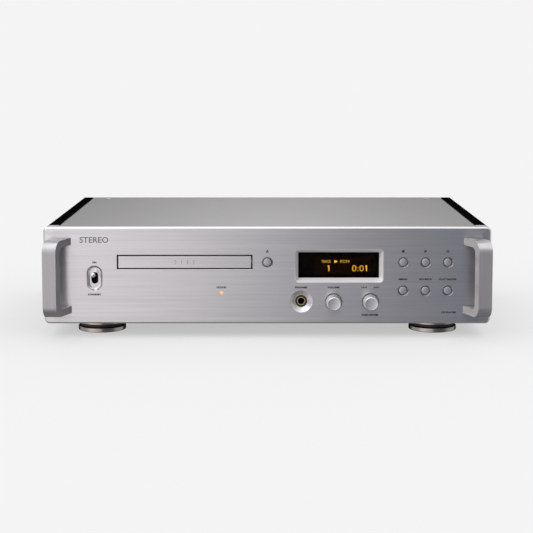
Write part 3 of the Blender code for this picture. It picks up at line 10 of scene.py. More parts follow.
# %% Load the frame
import json
import math

import bmesh
import bpy
from mathutils import Matrix, Vector

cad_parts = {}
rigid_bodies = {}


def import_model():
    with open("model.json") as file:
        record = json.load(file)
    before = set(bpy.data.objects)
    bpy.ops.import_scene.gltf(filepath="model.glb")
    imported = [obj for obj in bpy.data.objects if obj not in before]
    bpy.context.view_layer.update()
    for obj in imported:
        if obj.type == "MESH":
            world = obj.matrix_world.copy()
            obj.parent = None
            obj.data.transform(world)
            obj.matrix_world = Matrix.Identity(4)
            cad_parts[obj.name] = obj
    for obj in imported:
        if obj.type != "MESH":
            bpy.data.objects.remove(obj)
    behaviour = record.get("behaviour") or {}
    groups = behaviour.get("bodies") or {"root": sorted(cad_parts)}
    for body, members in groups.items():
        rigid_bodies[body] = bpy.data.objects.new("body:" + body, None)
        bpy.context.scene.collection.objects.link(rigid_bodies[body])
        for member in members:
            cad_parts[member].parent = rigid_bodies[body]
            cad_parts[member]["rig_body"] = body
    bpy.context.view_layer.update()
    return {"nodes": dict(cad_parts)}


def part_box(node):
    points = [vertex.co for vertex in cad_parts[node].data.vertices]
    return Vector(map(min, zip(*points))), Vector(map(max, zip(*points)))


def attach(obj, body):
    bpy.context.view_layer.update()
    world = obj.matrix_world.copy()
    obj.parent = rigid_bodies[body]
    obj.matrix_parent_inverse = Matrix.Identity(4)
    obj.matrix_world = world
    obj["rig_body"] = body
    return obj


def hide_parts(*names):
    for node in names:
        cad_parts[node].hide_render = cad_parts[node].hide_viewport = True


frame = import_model()
mm = 0.001
print("nodes in the frame:", len(frame["nodes"]))

# %% [markdown]
# ## Places
#
# Nothing here is placed by eye. A `Place` is the box round one node of the frame, so a finer piece can
# take its middle and its size from the solid that it stands for.

# %% Places from the frame
class Place:
    """The box round a node of the frame."""

    def __init__(self, node):
        self.low, self.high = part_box(node)
        self.middle = (self.low + self.high) / 2
        self.size = self.high - self.low

    def on(self, y):
        """Its middle, moved to a depth."""
        return (self.middle.x, y, self.middle.z)


panel = Place("front_panel")
face_y = panel.low.y
panel_back_y = panel.high.y
top = Place("top_plate")
rear = Place("rear_panel")
rear_y = rear.high.y
print("panel", [round(n / mm, 1) for n in panel.size], "mm")

# %% [markdown]
# ## Camera and studio
#
# A long lens from 1.4 metres away keeps the front panel nearly square-on while it shows the top plate as
# a narrow band. The studio is plain: a pale floor, a pale surround and large soft lights. Brushed metal
# shows what stands around it, so the light is strong on the left and weak on the right.

# %% Camera
CAMERA_DISTANCE = 1.353
CAMERA_HEIGHT = 0.277
CAMERA_SIDE = -0.0008
CAMERA_TILT = math.radians(5.979)
CAMERA_SHIFT = -0.12  # keeps the panel's upright edges nearly parallel
LENS = 93.04

lens = bpy.data.cameras.new("camera")
lens.lens = LENS
lens.sensor_width = 36
lens.shift_y = CAMERA_SHIFT
camera = bpy.data.objects.new("camera", lens)
camera.location = (CAMERA_SIDE, face_y - CAMERA_DISTANCE, CAMERA_HEIGHT)
camera.rotation_euler = (math.pi / 2 - CAMERA_TILT, 0, 0)
bpy.context.scene.collection.objects.link(camera)
bpy.context.scene.camera = camera
bpy.context.scene.view_settings.view_transform = "Standard"

# %% [markdown]
# ## A small language for materials
#
# A material in Blender is a net of nodes. `Flow` wraps what comes out of a node, so that sums can be
# written as plain Python: `0.3 + 0.1 * grain` adds the Math nodes by itself. `Finish` is one material,
# and its `node` method adds any other node.

# %% Flow and Finish
class Flow:
    """What comes out of one node."""

    def __init__(self, finish, socket):
        self.finish = finish
        self.socket = socket

    def sum(self, operation, first, second):
        return self.finish.node("ShaderNodeMath", {"operation": operation}, {0: first, 1: second})

    def __add__(self, other):
        return self.sum("ADD", self, other)

    def __sub__(self, other):
        return self.sum("SUBTRACT", self, other)

    def __rsub__(self, other):
        return self.sum("SUBTRACT", other, self)

    def __mul__(self, other):
        return self.sum("MULTIPLY", self, other)

    __radd__ = __add__
    __rmul__ = __mul__


class Finish:
    """One material: a Principled shader and the nodes that feed it."""

    def __init__(self, name, **constants):
        self.material = bpy.data.materials.new(name)
        self.material.use_nodes = True
        self.tree = self.material.node_tree
        self.shader = self.tree.nodes["Principled BSDF"]
        for socket, value in constants.items():
            self.shader.inputs[socket.replace("_", " ")].default_value = value

    def node(self, kind, settings=None, inputs=None, output=0):
        made = self.tree.nodes.new(kind)
        for key, value in (settings or {}).items():
            setattr(made, key, value)
        for key, value in (inputs or {}).items():
            self.feed(made.inputs[key], value)
        return Flow(self, made.outputs[output])

    def feed(self, socket, value):
        if isinstance(value, Flow):
            self.tree.links.new(value.socket, socket)
        else:
            socket.default_value = value

    def paint(self, **flows):
        """Joins flows to the shader's own sockets."""
        for socket, value in flows.items():
            self.feed(self.shader.inputs[socket.replace("_", " ")], value)

    def place(self, stretch=(1, 1, 1)):
        """Where a point is on its own object, in metres, stretched along each axis."""
        here = self.node("ShaderNodeTexCoord", output="Object")
        return self.node("ShaderNodeMapping", {}, {"Vector": here, "Scale": stretch})

    def noise(self, where, scale=1.0, detail=3.0, rough=0.5):
        """Cloudy values from 0 to 1."""
        inputs = {"Vector": where, "Scale": scale, "Detail": detail, "Roughness": rough}
        return self.node("ShaderNodeTexNoise", {}, inputs)

    def mix(self, share, first, second):
        """A colour between two colours."""
        ends = [end if isinstance(end, Flow) else (*end, 1) for end in (first, second)]
        inputs = {"Factor": share, 6: ends[0], 7: ends[1]}
        return self.node("ShaderNodeMix", {"data_type": "RGBA"}, inputs, 2)

    def varied(self, share, colour, less, more):
        """A colour that goes from a bit darker to a bit lighter."""
        return self.mix(share, shaded(colour, 1 - less), shaded(colour, 1 + more))

    def scaled(self, colour, factor):
        """A colour made stronger or weaker by a flow."""
        return self.node("ShaderNodeVectorMath", {"operation": "SCALE"}, {0: colour, "Scale": factor})

    def spread(self, value, low, high, shape="LINEAR"):
        """Stretches the values from low to high over 0 to 1."""
        inputs = {"Value": value, "From Min": low, "From Max": high}
        return self.node("ShaderNodeMapRange", {"interpolation_type": shape}, inputs)

    def bump(self, height, depth, strength=1.0):
        """Fine relief: a height from 0 to 1, and what 1 stands for in metres."""
        inputs = {"Height": height, "Distance": depth, "Strength": strength}
        self.paint(Normal=self.node("ShaderNodeBump", {}, inputs))


def shaded(colour, factor):
    """A colour made lighter or darker."""
    return tuple(min(1.0, channel * factor) for channel in colour)


# %% [markdown]
# ## Brushed aluminium
#
# The panel is rubbed with an abrasive belt along its length and then anodised. The belt leaves lines
# that are very long and very thin, so the noise is squeezed across the grain and stretched along it.
# Two sizes are added: bands that an eye sees as streaks, and hair lines that only spread the reflection.
# The shader's own anisotropy does the rest: it smears reflections across the grain.

# %% Brushed finishes
SILVER = (0.63, 0.62, 0.625)


def brushed(name, colour, along, roughness=0.3, streaks=0.12, anisotropy=0.0, turn=0.0, depth=0.01 * mm):
    """Metal with its grain along one axis, 0, 1 or 2."""
    finish = Finish(name, Metallic=1.0, Anisotropic=anisotropy, Anisotropic_Rotation=turn)
    fine = [1700.0] * 3
    fine[along] = 26.0
    broad = [480.0] * 3
    broad[along] = 7.0
    hairs = finish.noise(finish.place(fine), detail=4.0, rough=0.65)
    bands = finish.spread(finish.noise(finish.place(broad), detail=5.0, rough=0.7), 0.3, 0.7)
    tone = 0.6 * bands + 0.4 * hairs
    finish.paint(
        Base_Color=finish.varied(tone, colour, streaks, streaks / 2),
        Roughness=roughness + 0.1 * hairs - 0.05,
    )
    finish.bump(hairs, depth, 0.5)
    return finish.material


# The frame's mesh for these pieces is in world coordinates, and so are the finer pieces.
panel_silver = brushed("panel_silver", SILVER, 0, 0.3, 0.17, 0.75, 0.25)
top_silver = brushed("top_silver", (0.6, 0.59, 0.585), 0, 0.2, 0.05, depth=0.001 * mm)
handle_silver = brushed("handle_silver", (0.46, 0.45, 0.46), 2, 0.36, 0.14, 0.8)


# %% [markdown]
# ## Turned metal
#
# Knobs, buttons and feet come from a lathe. The tool leaves rings round the axis, so the noise is read
# by the distance from that axis and not by the place itself. The pieces have their origin on the axis.

# %% Turned finishes
def lathe_marks(name, colour, axis, roughness=0.3, rings=2500.0, contrast=0.1):
    """Metal turned round an axis, 1 for Y or 2 for Z, through its object's origin."""
    finish = Finish(name, Metallic=1.0)
    flat = [1.0, 1.0, 1.0]
    flat[axis] = 0.0
    radius = finish.node("ShaderNodeVectorMath", {"operation": "LENGTH"}, {0: finish.place(flat)}, 1)
    split = finish.node("ShaderNodeSeparateXYZ", {}, {0: finish.place()}, axis)
    where = finish.node("ShaderNodeCombineXYZ", {}, {0: radius * rings, 1: split * (rings * 0.6)})
    lines = finish.noise(where, detail=3.0, rough=0.6)
    cloud = finish.noise(finish.place((90, 90, 90)), detail=2.0)
    tone = 0.7 * lines + 0.3 * cloud
    finish.paint(
        Base_Color=finish.varied(tone, colour, contrast, contrast),
        Roughness=roughness + 0.12 * lines - 0.06,
    )
    finish.bump(lines, 0.01 * mm, 0.4)
    return finish.material


knob_silver = lathe_marks("knob_silver", (0.6, 0.595, 0.605), 1, 0.42)
button_silver = lathe_marks("button_silver", (0.46, 0.455, 0.47), 1, 0.42)
foot_nickel = lathe_marks("foot_nickel", (0.33, 0.295, 0.27), 2, 0.24, 900.0, 0.2)
gold = lathe_marks("gold_plate", (0.86, 0.6, 0.2), 1, 0.22)
chrome = lathe_marks("lever_chrome", (0.72, 0.72, 0.73), 1, 0.06, 900.0, 0.04)
nickel = lathe_marks("socket_nickel", (0.55, 0.54, 0.52), 1, 0.2)
shaft_steel = lathe_marks("shaft_steel", (0.5, 0.5, 0.5), 1, 0.25)
motor_steel = lathe_marks("motor_steel", (0.48, 0.48, 0.49), 2, 0.32, 700.0)
platter_silver = lathe_marks("platter_silver", SILVER, 2, 0.3, 1200.0, 0.1)


# %% [markdown]
# ## Painted, moulded and printed finishes
#
# The detail of these is a fine even grain, and not lines. Paint has a slight orange peel, moulded plastic
# has the texture of its mould, and ink is nearly smooth. One function makes them all from a colour, a
# gloss and the size of the grain.

# %% Even finishes
def grained(name, colour, roughness, grain=1500.0, depth=0.01 * mm, contrast=0.15, **constants):
    """A finish with an even grain: grain is in bumps a metre."""
    finish = Finish(name, **constants)
    specks = finish.noise(finish.place(), grain, 3.0, 0.6)
    cloud = finish.noise(finish.place(), 35.0, 3.0, 0.5)
    tone = 0.6 * specks + 0.4 * cloud
    finish.paint(
        Base_Color=finish.varied(tone, colour, contrast, contrast),
        Roughness=roughness + 0.16 * cloud - 0.08,
    )
    finish.bump(specks, depth, 0.6)
    return finish.material


case_black = grained("case_black", (0.012, 0.012, 0.013), 0.42, 900.0)
moulded_black = grained("moulded_black", (0.011, 0.011, 0.012), 0.5, 1800.0)
screen_black = grained("screen_black", (0.0012, 0.0011, 0.001), 0.6, 1800.0, Specular_IOR_Level=0.0)
ring_black = grained("ring_black", (0.006, 0.006, 0.006), 0.6, 1200.0)
ink = grained("ink", (0.012, 0.012, 0.013), 0.5, 3000.0, 0.002 * mm)
logo_grey = grained("logo_grey", (0.12, 0.12, 0.125), 0.4, 3000.0, 0.002 * mm, Metallic=0.5)
white_print = grained("white_print", (0.62, 0.62, 0.6), 0.6, 3000.0, 0.002 * mm)
nylon_white = grained("nylon_white", (0.72, 0.7, 0.64), 0.45, 700.0, Subsurface_Weight=0.1)
rubber_black = grained("rubber_black", (0.016, 0.016, 0.016), 0.75, 1100.0)
zinc = grained("zinc_plate", (0.52, 0.52, 0.5), 0.35, 260.0, 0.006 * mm, 0.18, Metallic=1.0)
blasted_silver = grained("blasted_silver", (0.72, 0.71, 0.71), 0.5, 2600.0, 0.01 * mm, 0.05, Metallic=0.5)
white_plastic = grained("white_plastic", (0.75, 0.75, 0.73), 0.4, 1500.0)
red_plastic = grained("red_plastic", (0.55, 0.02, 0.015), 0.4, 1500.0)

# %% [markdown]
# ## Glass and light
#
# The display is a lit module behind a smoked window. The window is real glass here, so that the module
# shows through it and the room shows on it. The characters shine by themselves.

# %% Glass and light
def glowing(name, colour, power, flicker=0.1):
    """A surface that shines, slightly unevenly."""
    finish = Finish(name, Roughness=0.5, Specular_IOR_Level=0.0, Emission_Strength=power)
    cells = finish.noise(finish.place(), 900.0, 2.0)
    finish.paint(
        Base_Color=finish.mix(cells, shaded(colour, 0.2), shaded(colour, 0.25)),
        Emission_Color=finish.mix(cells, shaded(colour, 1 - flicker), colour),
    )
    return finish.material


def smoked_glass():
    """Dark clear acrylic, coated against reflections, so its index is set low."""
    finish = Finish("smoked_glass", Transmission_Weight=1.0, IOR=1.1)
    haze = finish.noise(finish.place(), 60.0, 2.0)
    finish.paint(
        Base_Color=finish.mix(haze, (0.62, 0.58, 0.56), (0.66, 0.62, 0.6)),
        Roughness=0.02 + 0.03 * haze,
    )
    return finish.material


def black_wall():
    """Matt black paint, with a lacquer on the upright faces only."""
    finish = Finish("side_black", Specular_IOR_Level=0.0, Coat_Roughness=0.35, Coat_IOR=1.4)
    facing = finish.node("ShaderNodeNewGeometry", output="Normal")
    sideways = finish.node("ShaderNodeVectorMath", {"operation": "MULTIPLY"}, {0: facing, 1: (1, 1, 0)})
    upright = finish.node("ShaderNodeVectorMath", {"operation": "LENGTH"}, {0: sideways}, 1)
    specks = finish.noise(finish.place(), 2200.0, 3.0)
    cloud = finish.noise(finish.place(), 30.0, 3.0)
    finish.paint(
        Base_Color=finish.mix(cloud, (0.001, 0.001, 0.0011), (0.002, 0.002, 0.0022)),
        Roughness=0.5 + 0.1 * cloud,
        Coat_Weight=finish.spread(upright, 0.75, 1.0),
    )
    finish.bump(specks, 0.01 * mm, 0.6)
    return finish.material


side_black = black_wall()
window_glass = smoked_glass()
amber = glowing("amber_light", (1.0, 0.6, 0.03), 1.9)
glow_field = glowing("display_field", (0.012, 0.0035, 0.0006), 0.5, 0.4)
clock_glow = glowing("clock_light", (1.0, 0.47, 0.2), 1.25)

# %% [markdown]
# ## Shapes
#
# Four ways to make a mesh cover nearly the whole player. `turned` spins a profile round an axis, for all
# that comes from a lathe. `skin` joins rings of points, for plates whose edges are chamfered and for
# recesses with sloping walls. `block` is a box with rounded edges. `carve` cuts holes with a Boolean.

# %% Outlines
def arc(middle, radius, start, end, steps):
    """Points of an arc, from one angle to another in quarter turns."""
    angles = [(start + (end - start) * i / steps) * math.pi / 2 for i in range(steps + 1)]
    return [(middle[0] + radius * math.cos(a), middle[1] + radius * math.sin(a)) for a in angles]


def polygon(sides, radius):
    angles = [2 * math.pi * i / sides for i in range(sides)]
    return [(radius * math.cos(a), radius * math.sin(a)) for a in angles]


def near(base, *points):
    """Points given in millimetres from a base point."""
    return [(base[0] + a * mm, base[1] + b * mm) for a, b in points]


def in_mm(*points):
    """Points given in millimetres."""
    return near((0, 0), *points)


def rounded(width, height, radius, steps=8, middle=(0, 0)):
    """Points of a rectangle with round corners, anticlockwise from the right."""
    points = []
    for corner, (sx, sy) in enumerate([(1, 1), (-1, 1), (-1, -1), (1, -1)]):
        cx = middle[0] + sx * (width / 2 - radius)
        cy = middle[1] + sy * (height / 2 - radius)
        points += arc((cx, cy), radius, corner, corner + 1, steps)
    return points


# %% Meshes
def finished(bm, name, angle=32):
    """Turns a bmesh into a mesh that is smooth up to an angle, with its faces pointing out."""
    bmesh.ops.remove_doubles(bm, verts=bm.verts, dist=0.001 * mm)
    bmesh.ops.recalc_face_normals(bm, faces=bm.faces)
    mesh = bpy.data.meshes.new(name)
    bm.to_mesh(mesh)
    bm.free()
    mesh.shade_smooth()
    mesh.set_sharp_from_angle(angle=math.radians(angle))
    return mesh


FACING = {
    "Z": Matrix.Identity(4),
    "-Y": Matrix.Rotation(math.pi / 2, 4, "X"),
    "Y": Matrix.Rotation(math.pi, 4, "Z") @ Matrix.Rotation(math.pi / 2, 4, "X"),
    "X": Matrix.Rotation(math.pi / 2, 4, "Y"),
    "-X": Matrix.Rotation(-math.pi / 2, 4, "Y"),
    "-Z": Matrix.Rotation(math.pi, 4, "X"),
}


def turned(name, profile, facing="Z", steps=64, closed=False, at=(0, 0, 0)):
    """Spins (radius, height) points round an axis. Heights run out along the way it faces."""
    bm = bmesh.new()
    verts = [bm.verts.new((r, 0, h)) for r, h in profile]
    pairs = list(zip(verts, verts[1:]))
    if closed:
        pairs.append((verts[-1], verts[0]))
    edges = [bm.edges.new(pair) for pair in pairs]
    bmesh.ops.spin(bm, geom=verts + edges, cent=(0, 0, 0), axis=(0, 0, 1), angle=2 * math.pi, steps=steps)
    bmesh.ops.transform(bm, verts=bm.verts, matrix=Matrix.Translation(at) @ FACING[facing])
    return finished(bm, name)


def skin(name, rings, facing="-Y", at=(0, 0, 0), hollow=False):
    """Joins rings, each (points, height). A hollow skin joins its last ring to its first."""
    bm = bmesh.new()
    layers = [[bm.verts.new((a, b, h)) for a, b in points] for points, h in rings]
    for upper, lower in zip(layers, layers[1:] + layers[:1] * hollow):
        count = len(upper)
        for i in range(count):
            j = (i + 1) % count
            bm.faces.new((upper[i], upper[j], lower[j], lower[i]))
    if not hollow:
        bm.faces.new(layers[0])
        bm.faces.new(layers[-1])
    bmesh.ops.transform(bm, verts=bm.verts, matrix=Matrix.Translation(at) @ FACING[facing])
    return finished(bm, name)


def block(name, low, high, edge=0.5 * mm, segments=2):
    """A box from corner to corner, with rounded edges."""
    bm = bmesh.new()
    low, high = Vector(low), Vector(high)
    size = Matrix.Diagonal((*(high - low), 1))
    bmesh.ops.create_cube(bm, size=1, matrix=Matrix.Translation((low + high) / 2) @ size)
    if edge:
        bmesh.ops.bevel(bm, geom=bm.edges[:], offset=edge, segments=segments, profile=0.5, affect="EDGES")
    return finished(bm, name)


def joined(name, meshes):
    """Several meshes as one."""
    bm = bmesh.new()
    for mesh in meshes:
        bm.from_mesh(mesh)
    whole = bpy.data.meshes.new(name)
    bm.to_mesh(whole)
    bm.free()
    return whole


def carve(name, mesh, cutters):
    """Cuts the cutters' meshes out of a mesh."""
    tools = bpy.data.collections.new("tools")
    bpy.context.scene.collection.children.link(tools)
    for i, cutter in enumerate(cutters):
        tools.objects.link(bpy.data.objects.new(f"{name}_tool_{i}", cutter))
    work = bpy.data.objects.new(name, mesh)
    bpy.context.scene.collection.objects.link(work)
    step = work.modifiers.new("carve", "BOOLEAN")
    step.operation = "DIFFERENCE"
    step.operand_type = "COLLECTION"
    step.collection = tools
    step.solver = "EXACT"
    graph = bpy.context.evaluated_depsgraph_get()
    bm = bmesh.new()
    bm.from_mesh(bpy.data.meshes.new_from_object(work.evaluated_get(graph)))
    for tool in list(tools.objects) + [work]:
        bpy.data.objects.remove(tool)
    bpy.data.collections.remove(tools)
    return finished(bm, name)


# %% [markdown]
# ## Putting a piece in the scene
#
# `add` is the one way a piece gets in. It names the body of the frame that the piece moves with, the
# finish, and the plain solids that the piece stands for.

# %% Adding pieces
def add(name, mesh, finish, body="player", replaces=(), at=(0, 0, 0), turn=(0, 0, 0)):
    piece = bpy.data.objects.new(name, mesh)
    piece.location = at
    piece.rotation_euler = turn
    bpy.context.scene.collection.objects.link(piece)
    mesh.materials.clear()
    mesh.materials.append(finish)
    even = piece.modifiers.new("even shading", "WEIGHTED_NORMAL")
    even.keep_sharp = True
    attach(piece, body)
    if replaces:
        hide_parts(*replaces)
    return piece


def redress(finish, *nodes):
    """Gives nodes that keep their own shape a better finish."""
    for node in nodes:
        frame["nodes"][node].data.materials.clear()
        frame["nodes"][node].data.materials.append(finish)


def dressed(node, mesh, finish, at=(0, 0, 0), turn=(0, 0, 0)):
    """A finer piece that stands for one node and rides on the same body."""
    body = frame["nodes"][node]["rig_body"]
    return add("fine_" + node, mesh, finish, body, [node], at, turn)


# %% [markdown]
# ## Front panel
#
# The panel is milled from a thick plate. Its face has a bright chamfer all round, which catches the light
# along the top. Every opening also has a small chamfer, because a milled edge is always broken.

# %% Panel sizes
PANEL_CORNER = 5 * mm
PANEL_CHAMFER = 1.5 * mm
TRAY_GAP = 1.2 * mm
OVER = 2 * mm
BUTTONS = ["eject", "stop", "play", "pause", "menu", "source", "play_mode"]

button_places = {name: Place(name + "_button") for name in BUTTONS}
button_radius = button_places["stop"].size.x / 2
volume = Place("volume_knob")
skip = Place("skip_knob")
jack = Place("headphone_jack")
lamp = Place("clock_led")
window = Place("display_window")
tray_front = Place("tray_front")
switch = Place("toggle_switch")


# %% Cutters for the panel
def drilled(spot, radius, depth, chamfer):
    """A round hole from the face inwards, with a chamfered mouth."""
    profile = [(0, OVER), (radius + chamfer + OVER, OVER), (radius, -chamfer), (radius, -depth), (0, -depth)]
    return turned("hole", profile, "-Y", 72, at=spot.on(face_y))


def dished(spot, radius, rim, sink, depth):
    """A hole with a sloping rim round a piece of the given radius, and a thin gap to the piece."""
    gap = radius + 0.4 * mm
    slope = (radius + rim - gap) / sink
    outer = radius + rim + slope * OVER
    profile = [(0, OVER), (outer, OVER), (gap, -sink), (gap, -depth), (0, -depth)]
    return turned("dish", profile, "-Y", 72, at=spot.on(face_y))


def milled(spot, rings):
    """A recess with the given rings of (width, height, corner, depth), from its mouth inwards."""
    sections = [(rounded(w, h, r, 10), -depth) for w, h, r, depth in rings]
    return skin("recess", sections, at=spot.on(face_y))


def widened(width, height, corner, chamfer, depth):
    """Rings of a straight-sided recess with a chamfered mouth."""
    over = 2 * (chamfer + OVER)
    return [
        (width + over, height + over, corner + over / 2, -OVER),
        (width, height, corner, chamfer),
        (width, height, corner, depth),
    ]


# %% The window's surround and the switch's dish
WINDOW_DEPTH = 7.5 * mm
WINDOW_SLOPE = 3.7 * mm
SURROUND_CORNER = 3.4 * mm
DISH = Vector((14.5, 24.3)) * mm
SLOT = Vector((6.8, 11.6)) * mm


def window_cutter():
    """A straight recess that the surround is pressed into."""
    depth = WINDOW_DEPTH + 0.3 * mm
    return milled(window, widened(window.size.x, window.size.z, SURROUND_CORNER, 0.25 * mm, depth))


def surround_mesh():
    """A frame of sloping walls, from the panel's face down to the glass."""
    w, h = window.size.x - 0.1 * mm, window.size.z - 0.1 * mm
    mouth = 0.22 * mm
    rings = [
        (rounded(w, h, SURROUND_CORNER, 10), -WINDOW_DEPTH),
        (rounded(w, h, SURROUND_CORNER, 10), -0.15 * mm),
        (rounded(w - mouth, h - mouth, SURROUND_CORNER - mouth / 2, 10), 0.0),
        (rounded(w - 2 * mouth, h - 2 * mouth, SURROUND_CORNER - mouth, 10), -0.1 * mm),
        (rounded(w - 2 * WINDOW_SLOPE, h - 2 * WINDOW_SLOPE, 0.5 * mm, 10), -WINDOW_DEPTH),
    ]
    at = window.on(face_y)
    return skin("surround", rings, at=at, hollow=True)


def dish_cutter():
    """The switch's pocket: a steep wall, a round hollow and a flat floor with the slot in it."""
    wide, high = DISH
    rings = [
        (wide + 2 * OVER + 1.4 * mm, high + 2 * OVER + 1.4 * mm, wide / 2 + OVER + 0.7 * mm, -OVER),
        (wide, high, wide / 2 - 0.01 * mm, 0.7 * mm),
    ]
    hollow = 5
    for i in range(1, hollow + 1):
        a = i / hollow * math.pi / 2
        shrink = 2 * 2.6 * mm * (1 - math.cos(a))
        depth = 0.7 * mm + 2.3 * mm * math.sin(a)
        rings.append((wide - shrink, high - shrink, (wide - shrink) / 2 - 0.01 * mm, depth))
    return milled(switch, rings)


# %% Make the panel
def front_panel():
    width, height = panel.size.x, panel.size.z
    middle = panel.on(face_y)
    inner = (width - 2 * PANEL_CHAMFER, height - 2 * PANEL_CHAMFER, PANEL_CORNER - PANEL_CHAMFER)
    soft = 0.12 * mm
    rings = [
        (rounded(inner[0] - 2 * soft, inner[1] - 2 * soft, inner[2] - soft, 10), 0),
        (rounded(*inner, 10), -soft / 2),
        (rounded(width - soft, height - soft, PANEL_CORNER - soft / 2, 10), soft / 2 - PANEL_CHAMFER),
        (rounded(width, height, PANEL_CORNER, 10), -soft - PANEL_CHAMFER),
        (rounded(width, height, PANEL_CORNER, 10), panel.low.y - panel.high.y),
    ]
    plate = skin("front_panel", rings, at=middle)
    deep = panel.size.y + OVER
    opening = tray_front.size + Vector((2 * TRAY_GAP, 0, 2 * TRAY_GAP))
    gap = 0.3 * mm
    spare = Vector((gap, gap, gap))
    window_back = Vector((window.high.x + gap, panel_back_y + OVER, window.high.z + gap))
    top_back = Vector((top.high.x + gap, panel_back_y + OVER, top.high.z + OVER))
    slot = (SLOT.x, SLOT.y, SLOT.x / 2 - 0.01 * mm)
    cutters = [
        milled(tray_front, widened(opening.x, opening.z, 0.6 * mm, 0.35 * mm, deep)),
        window_cutter(),
        block("window_seat", window.low - spare, window_back, 0),
        dish_cutter(),
        milled(switch, [(*slot, -OVER), (*slot, deep)]),
        block("top_seat", top.low - spare, top_back, 0),
        drilled(lamp, lamp.size.x / 2 + gap, deep, 0.2 * mm),
    ]
    for spot in button_places.values():
        cutters.append(dished(spot, button_radius, 1.9 * mm, 1.3 * mm, deep))
    for knob in (volume, skip):
        cutters.append(dished(knob, knob.size.x / 2, 1.6 * mm, 1.0 * mm, 6 * mm))
    return carve("front_panel", plate, cutters + [jack_cutter()])


JACK_DISH = 11 * mm
JACK_NUT = 5.7 * mm
JACK_DISH_DEPTH = 4 * mm


def jack_cutter():
    """A wide cone down to the jack's nut, and the hole that the jack comes through."""
    slope = (JACK_DISH - JACK_NUT - 0.8 * mm) / JACK_DISH_DEPTH
    hole = JACK_NUT + 0.25 * mm
    back = -panel.size.y - OVER
    profile = [(0, OVER), (JACK_DISH + slope * OVER + 0.5 * mm, OVER)]
    profile += near((JACK_DISH, 0), (0.2, 0), (-slope * 0.3, -0.3))
    profile += [(JACK_NUT + 0.8 * mm, -JACK_DISH_DEPTH), (hole, -JACK_DISH_DEPTH), (hole, back), (0, back)]
    return turned("jack_cutter", profile, "-Y", 96, at=jack.on(face_y))


dressed("front_panel", front_panel(), panel_silver)

# %% [markdown]
# ## Case
#
# The top plate lies in a seat behind the panel's upper edge, between two black side walls that are flush
# with it. Two countersunk screws hold it near the rear edge. A thin black ring in each screw's seat is
# painted shade for the dark gap round the head.

# %% Screws
def screw(name, radius, facing, at, finish, body="player", slot="plated_steel", cup=0.0):
    """A head with a hexagon socket: countersunk, or with a cup in millimetres below it, a low cup head."""
    rim = 0.12 * radius
    profile = [(0, 0), (radius - rim, 0), (radius, -rim), (radius * 0.55, -radius * 0.6), (0, -radius * 0.6)]
    if cup:
        profile[3:] = [(radius, -cup * mm), (0, -cup * mm)]
    head = turned("head", profile, "Z", 40)
    socket = polygon(6, radius * 0.5)
    tool = skin("socket", [(socket, radius), (socket, -radius * 0.45)], "Z")
    mesh = carve(name, head, [tool])
    mesh.transform(FACING[facing])
    return add(name, mesh, finish, body, at=at)


# %% Top plate, side walls, bottom and rear
TOP_SCREW_X = 188.5 * mm
TOP_SCREW_SETBACK = 20 * mm
SCREW_RADIUS = 3.4 * mm


def top_plate():
    plate = block("top_plate", top.low, top.high, 0.6 * mm, 3)
    depth = 1.2 * mm
    radius = SCREW_RADIUS + 0.9 * mm
    cutters = []
    for side in (-1, 1):
        spot = (side * TOP_SCREW_X, top.high.y - TOP_SCREW_SETBACK, top.high.z)
        seat = radius - 0.4 * mm
        profile = [(0, OVER), (radius + OVER, OVER), (seat, -0.4 * mm), (seat, -depth), (0, -depth)]
        cutters.append(turned("screw_seat", profile, "Z", 48, at=spot))
        screw(f"top_screw_{side + 1}", SCREW_RADIUS, "Z", (spot[0], spot[1], spot[2] - 0.25 * mm), chrome)
        # A thin black cup lines the seat round the screw head: painted shade for the dark gap round the head.
        inner, outer = SCREW_RADIUS + 0.1 * mm, radius - 0.42 * mm
        floor_low, floor_high = 0.02 * mm - depth, 0.1 * mm - depth
        thin = outer - 0.08 * mm
        seat_shade = [(inner, floor_high), (thin, floor_high), (thin, -0.2 * mm)]
        seat_shade += [(outer, -0.2 * mm), (outer, floor_low), (inner, floor_low)]
        seat_shade_mesh = turned("seat_shade", seat_shade, "Z", 48, True)
        add(f"top_screw_seat_shade_{side + 1}", seat_shade_mesh, ring_black, at=spot)
    return carve("top_plate", plate, cutters)


dressed("top_plate", top_plate(), top_silver)


def side_wall(side):
    """A black extrusion with two shallow grooves along its outer face."""
    spot = Place("side_panel_" + side)
    outer = -1 if side == "left" else 1
    edge = spot.low.x if side == "left" else spot.high.x
    wall = block("side", spot.low, spot.high, 0.7 * mm, 3)
    cutters = []
    for share in (1 / 3, 2 / 3):
        z = spot.low.z + spot.size.z * share
        low = Vector((edge - 0.8 * mm, spot.low.y - OVER, z - 1 * mm))
        high = Vector((edge + 0.8 * mm, spot.high.y + OVER, z + 1 * mm))
        cutters.append(block("groove", low, high, 0.3 * mm))
    for share in (0.1, 0.9):
        for z in (spot.low.z + 10 * mm, spot.high.z - 10 * mm):
            y = spot.low.y + spot.size.y * share
            name = f"side_screw_{side}_{share}_{z / mm:.0f}".replace(".", "_")
            facing = "-X" if outer < 0 else "X"
            at = (edge, y, z)
            screw(name, 2.9 * mm, facing, (edge - outer * 0.5 * mm, y, z), case_screw, slot="black_metal")
            profile = in_mm((0, 1), (4.2, 1), (3.1, -0.1), (3.1, -0.9), (0, -0.9))
            cutters.append(turned("screw_seat", profile, facing, 40, at=at))
    return carve("side_wall_" + side, wall, cutters)


case_screw = grained("case_screw", (0.03, 0.03, 0.032), 0.3, 900.0, Metallic=0.8)
for side in ("left", "right"):
    dressed("side_panel_" + side, side_wall(side), side_black)
redress(case_black, "bottom_plate", "rear_panel")

# %% [markdown]
# ## Handles
#
# Each handle is one flat bar bent to a U. Seen from above its legs lean outwards, so that fingers have
# room. It starts as an upright U of the right reach and height. Then each point is moved sideways by its
# distance from the panel, and a bevel rounds the edges.

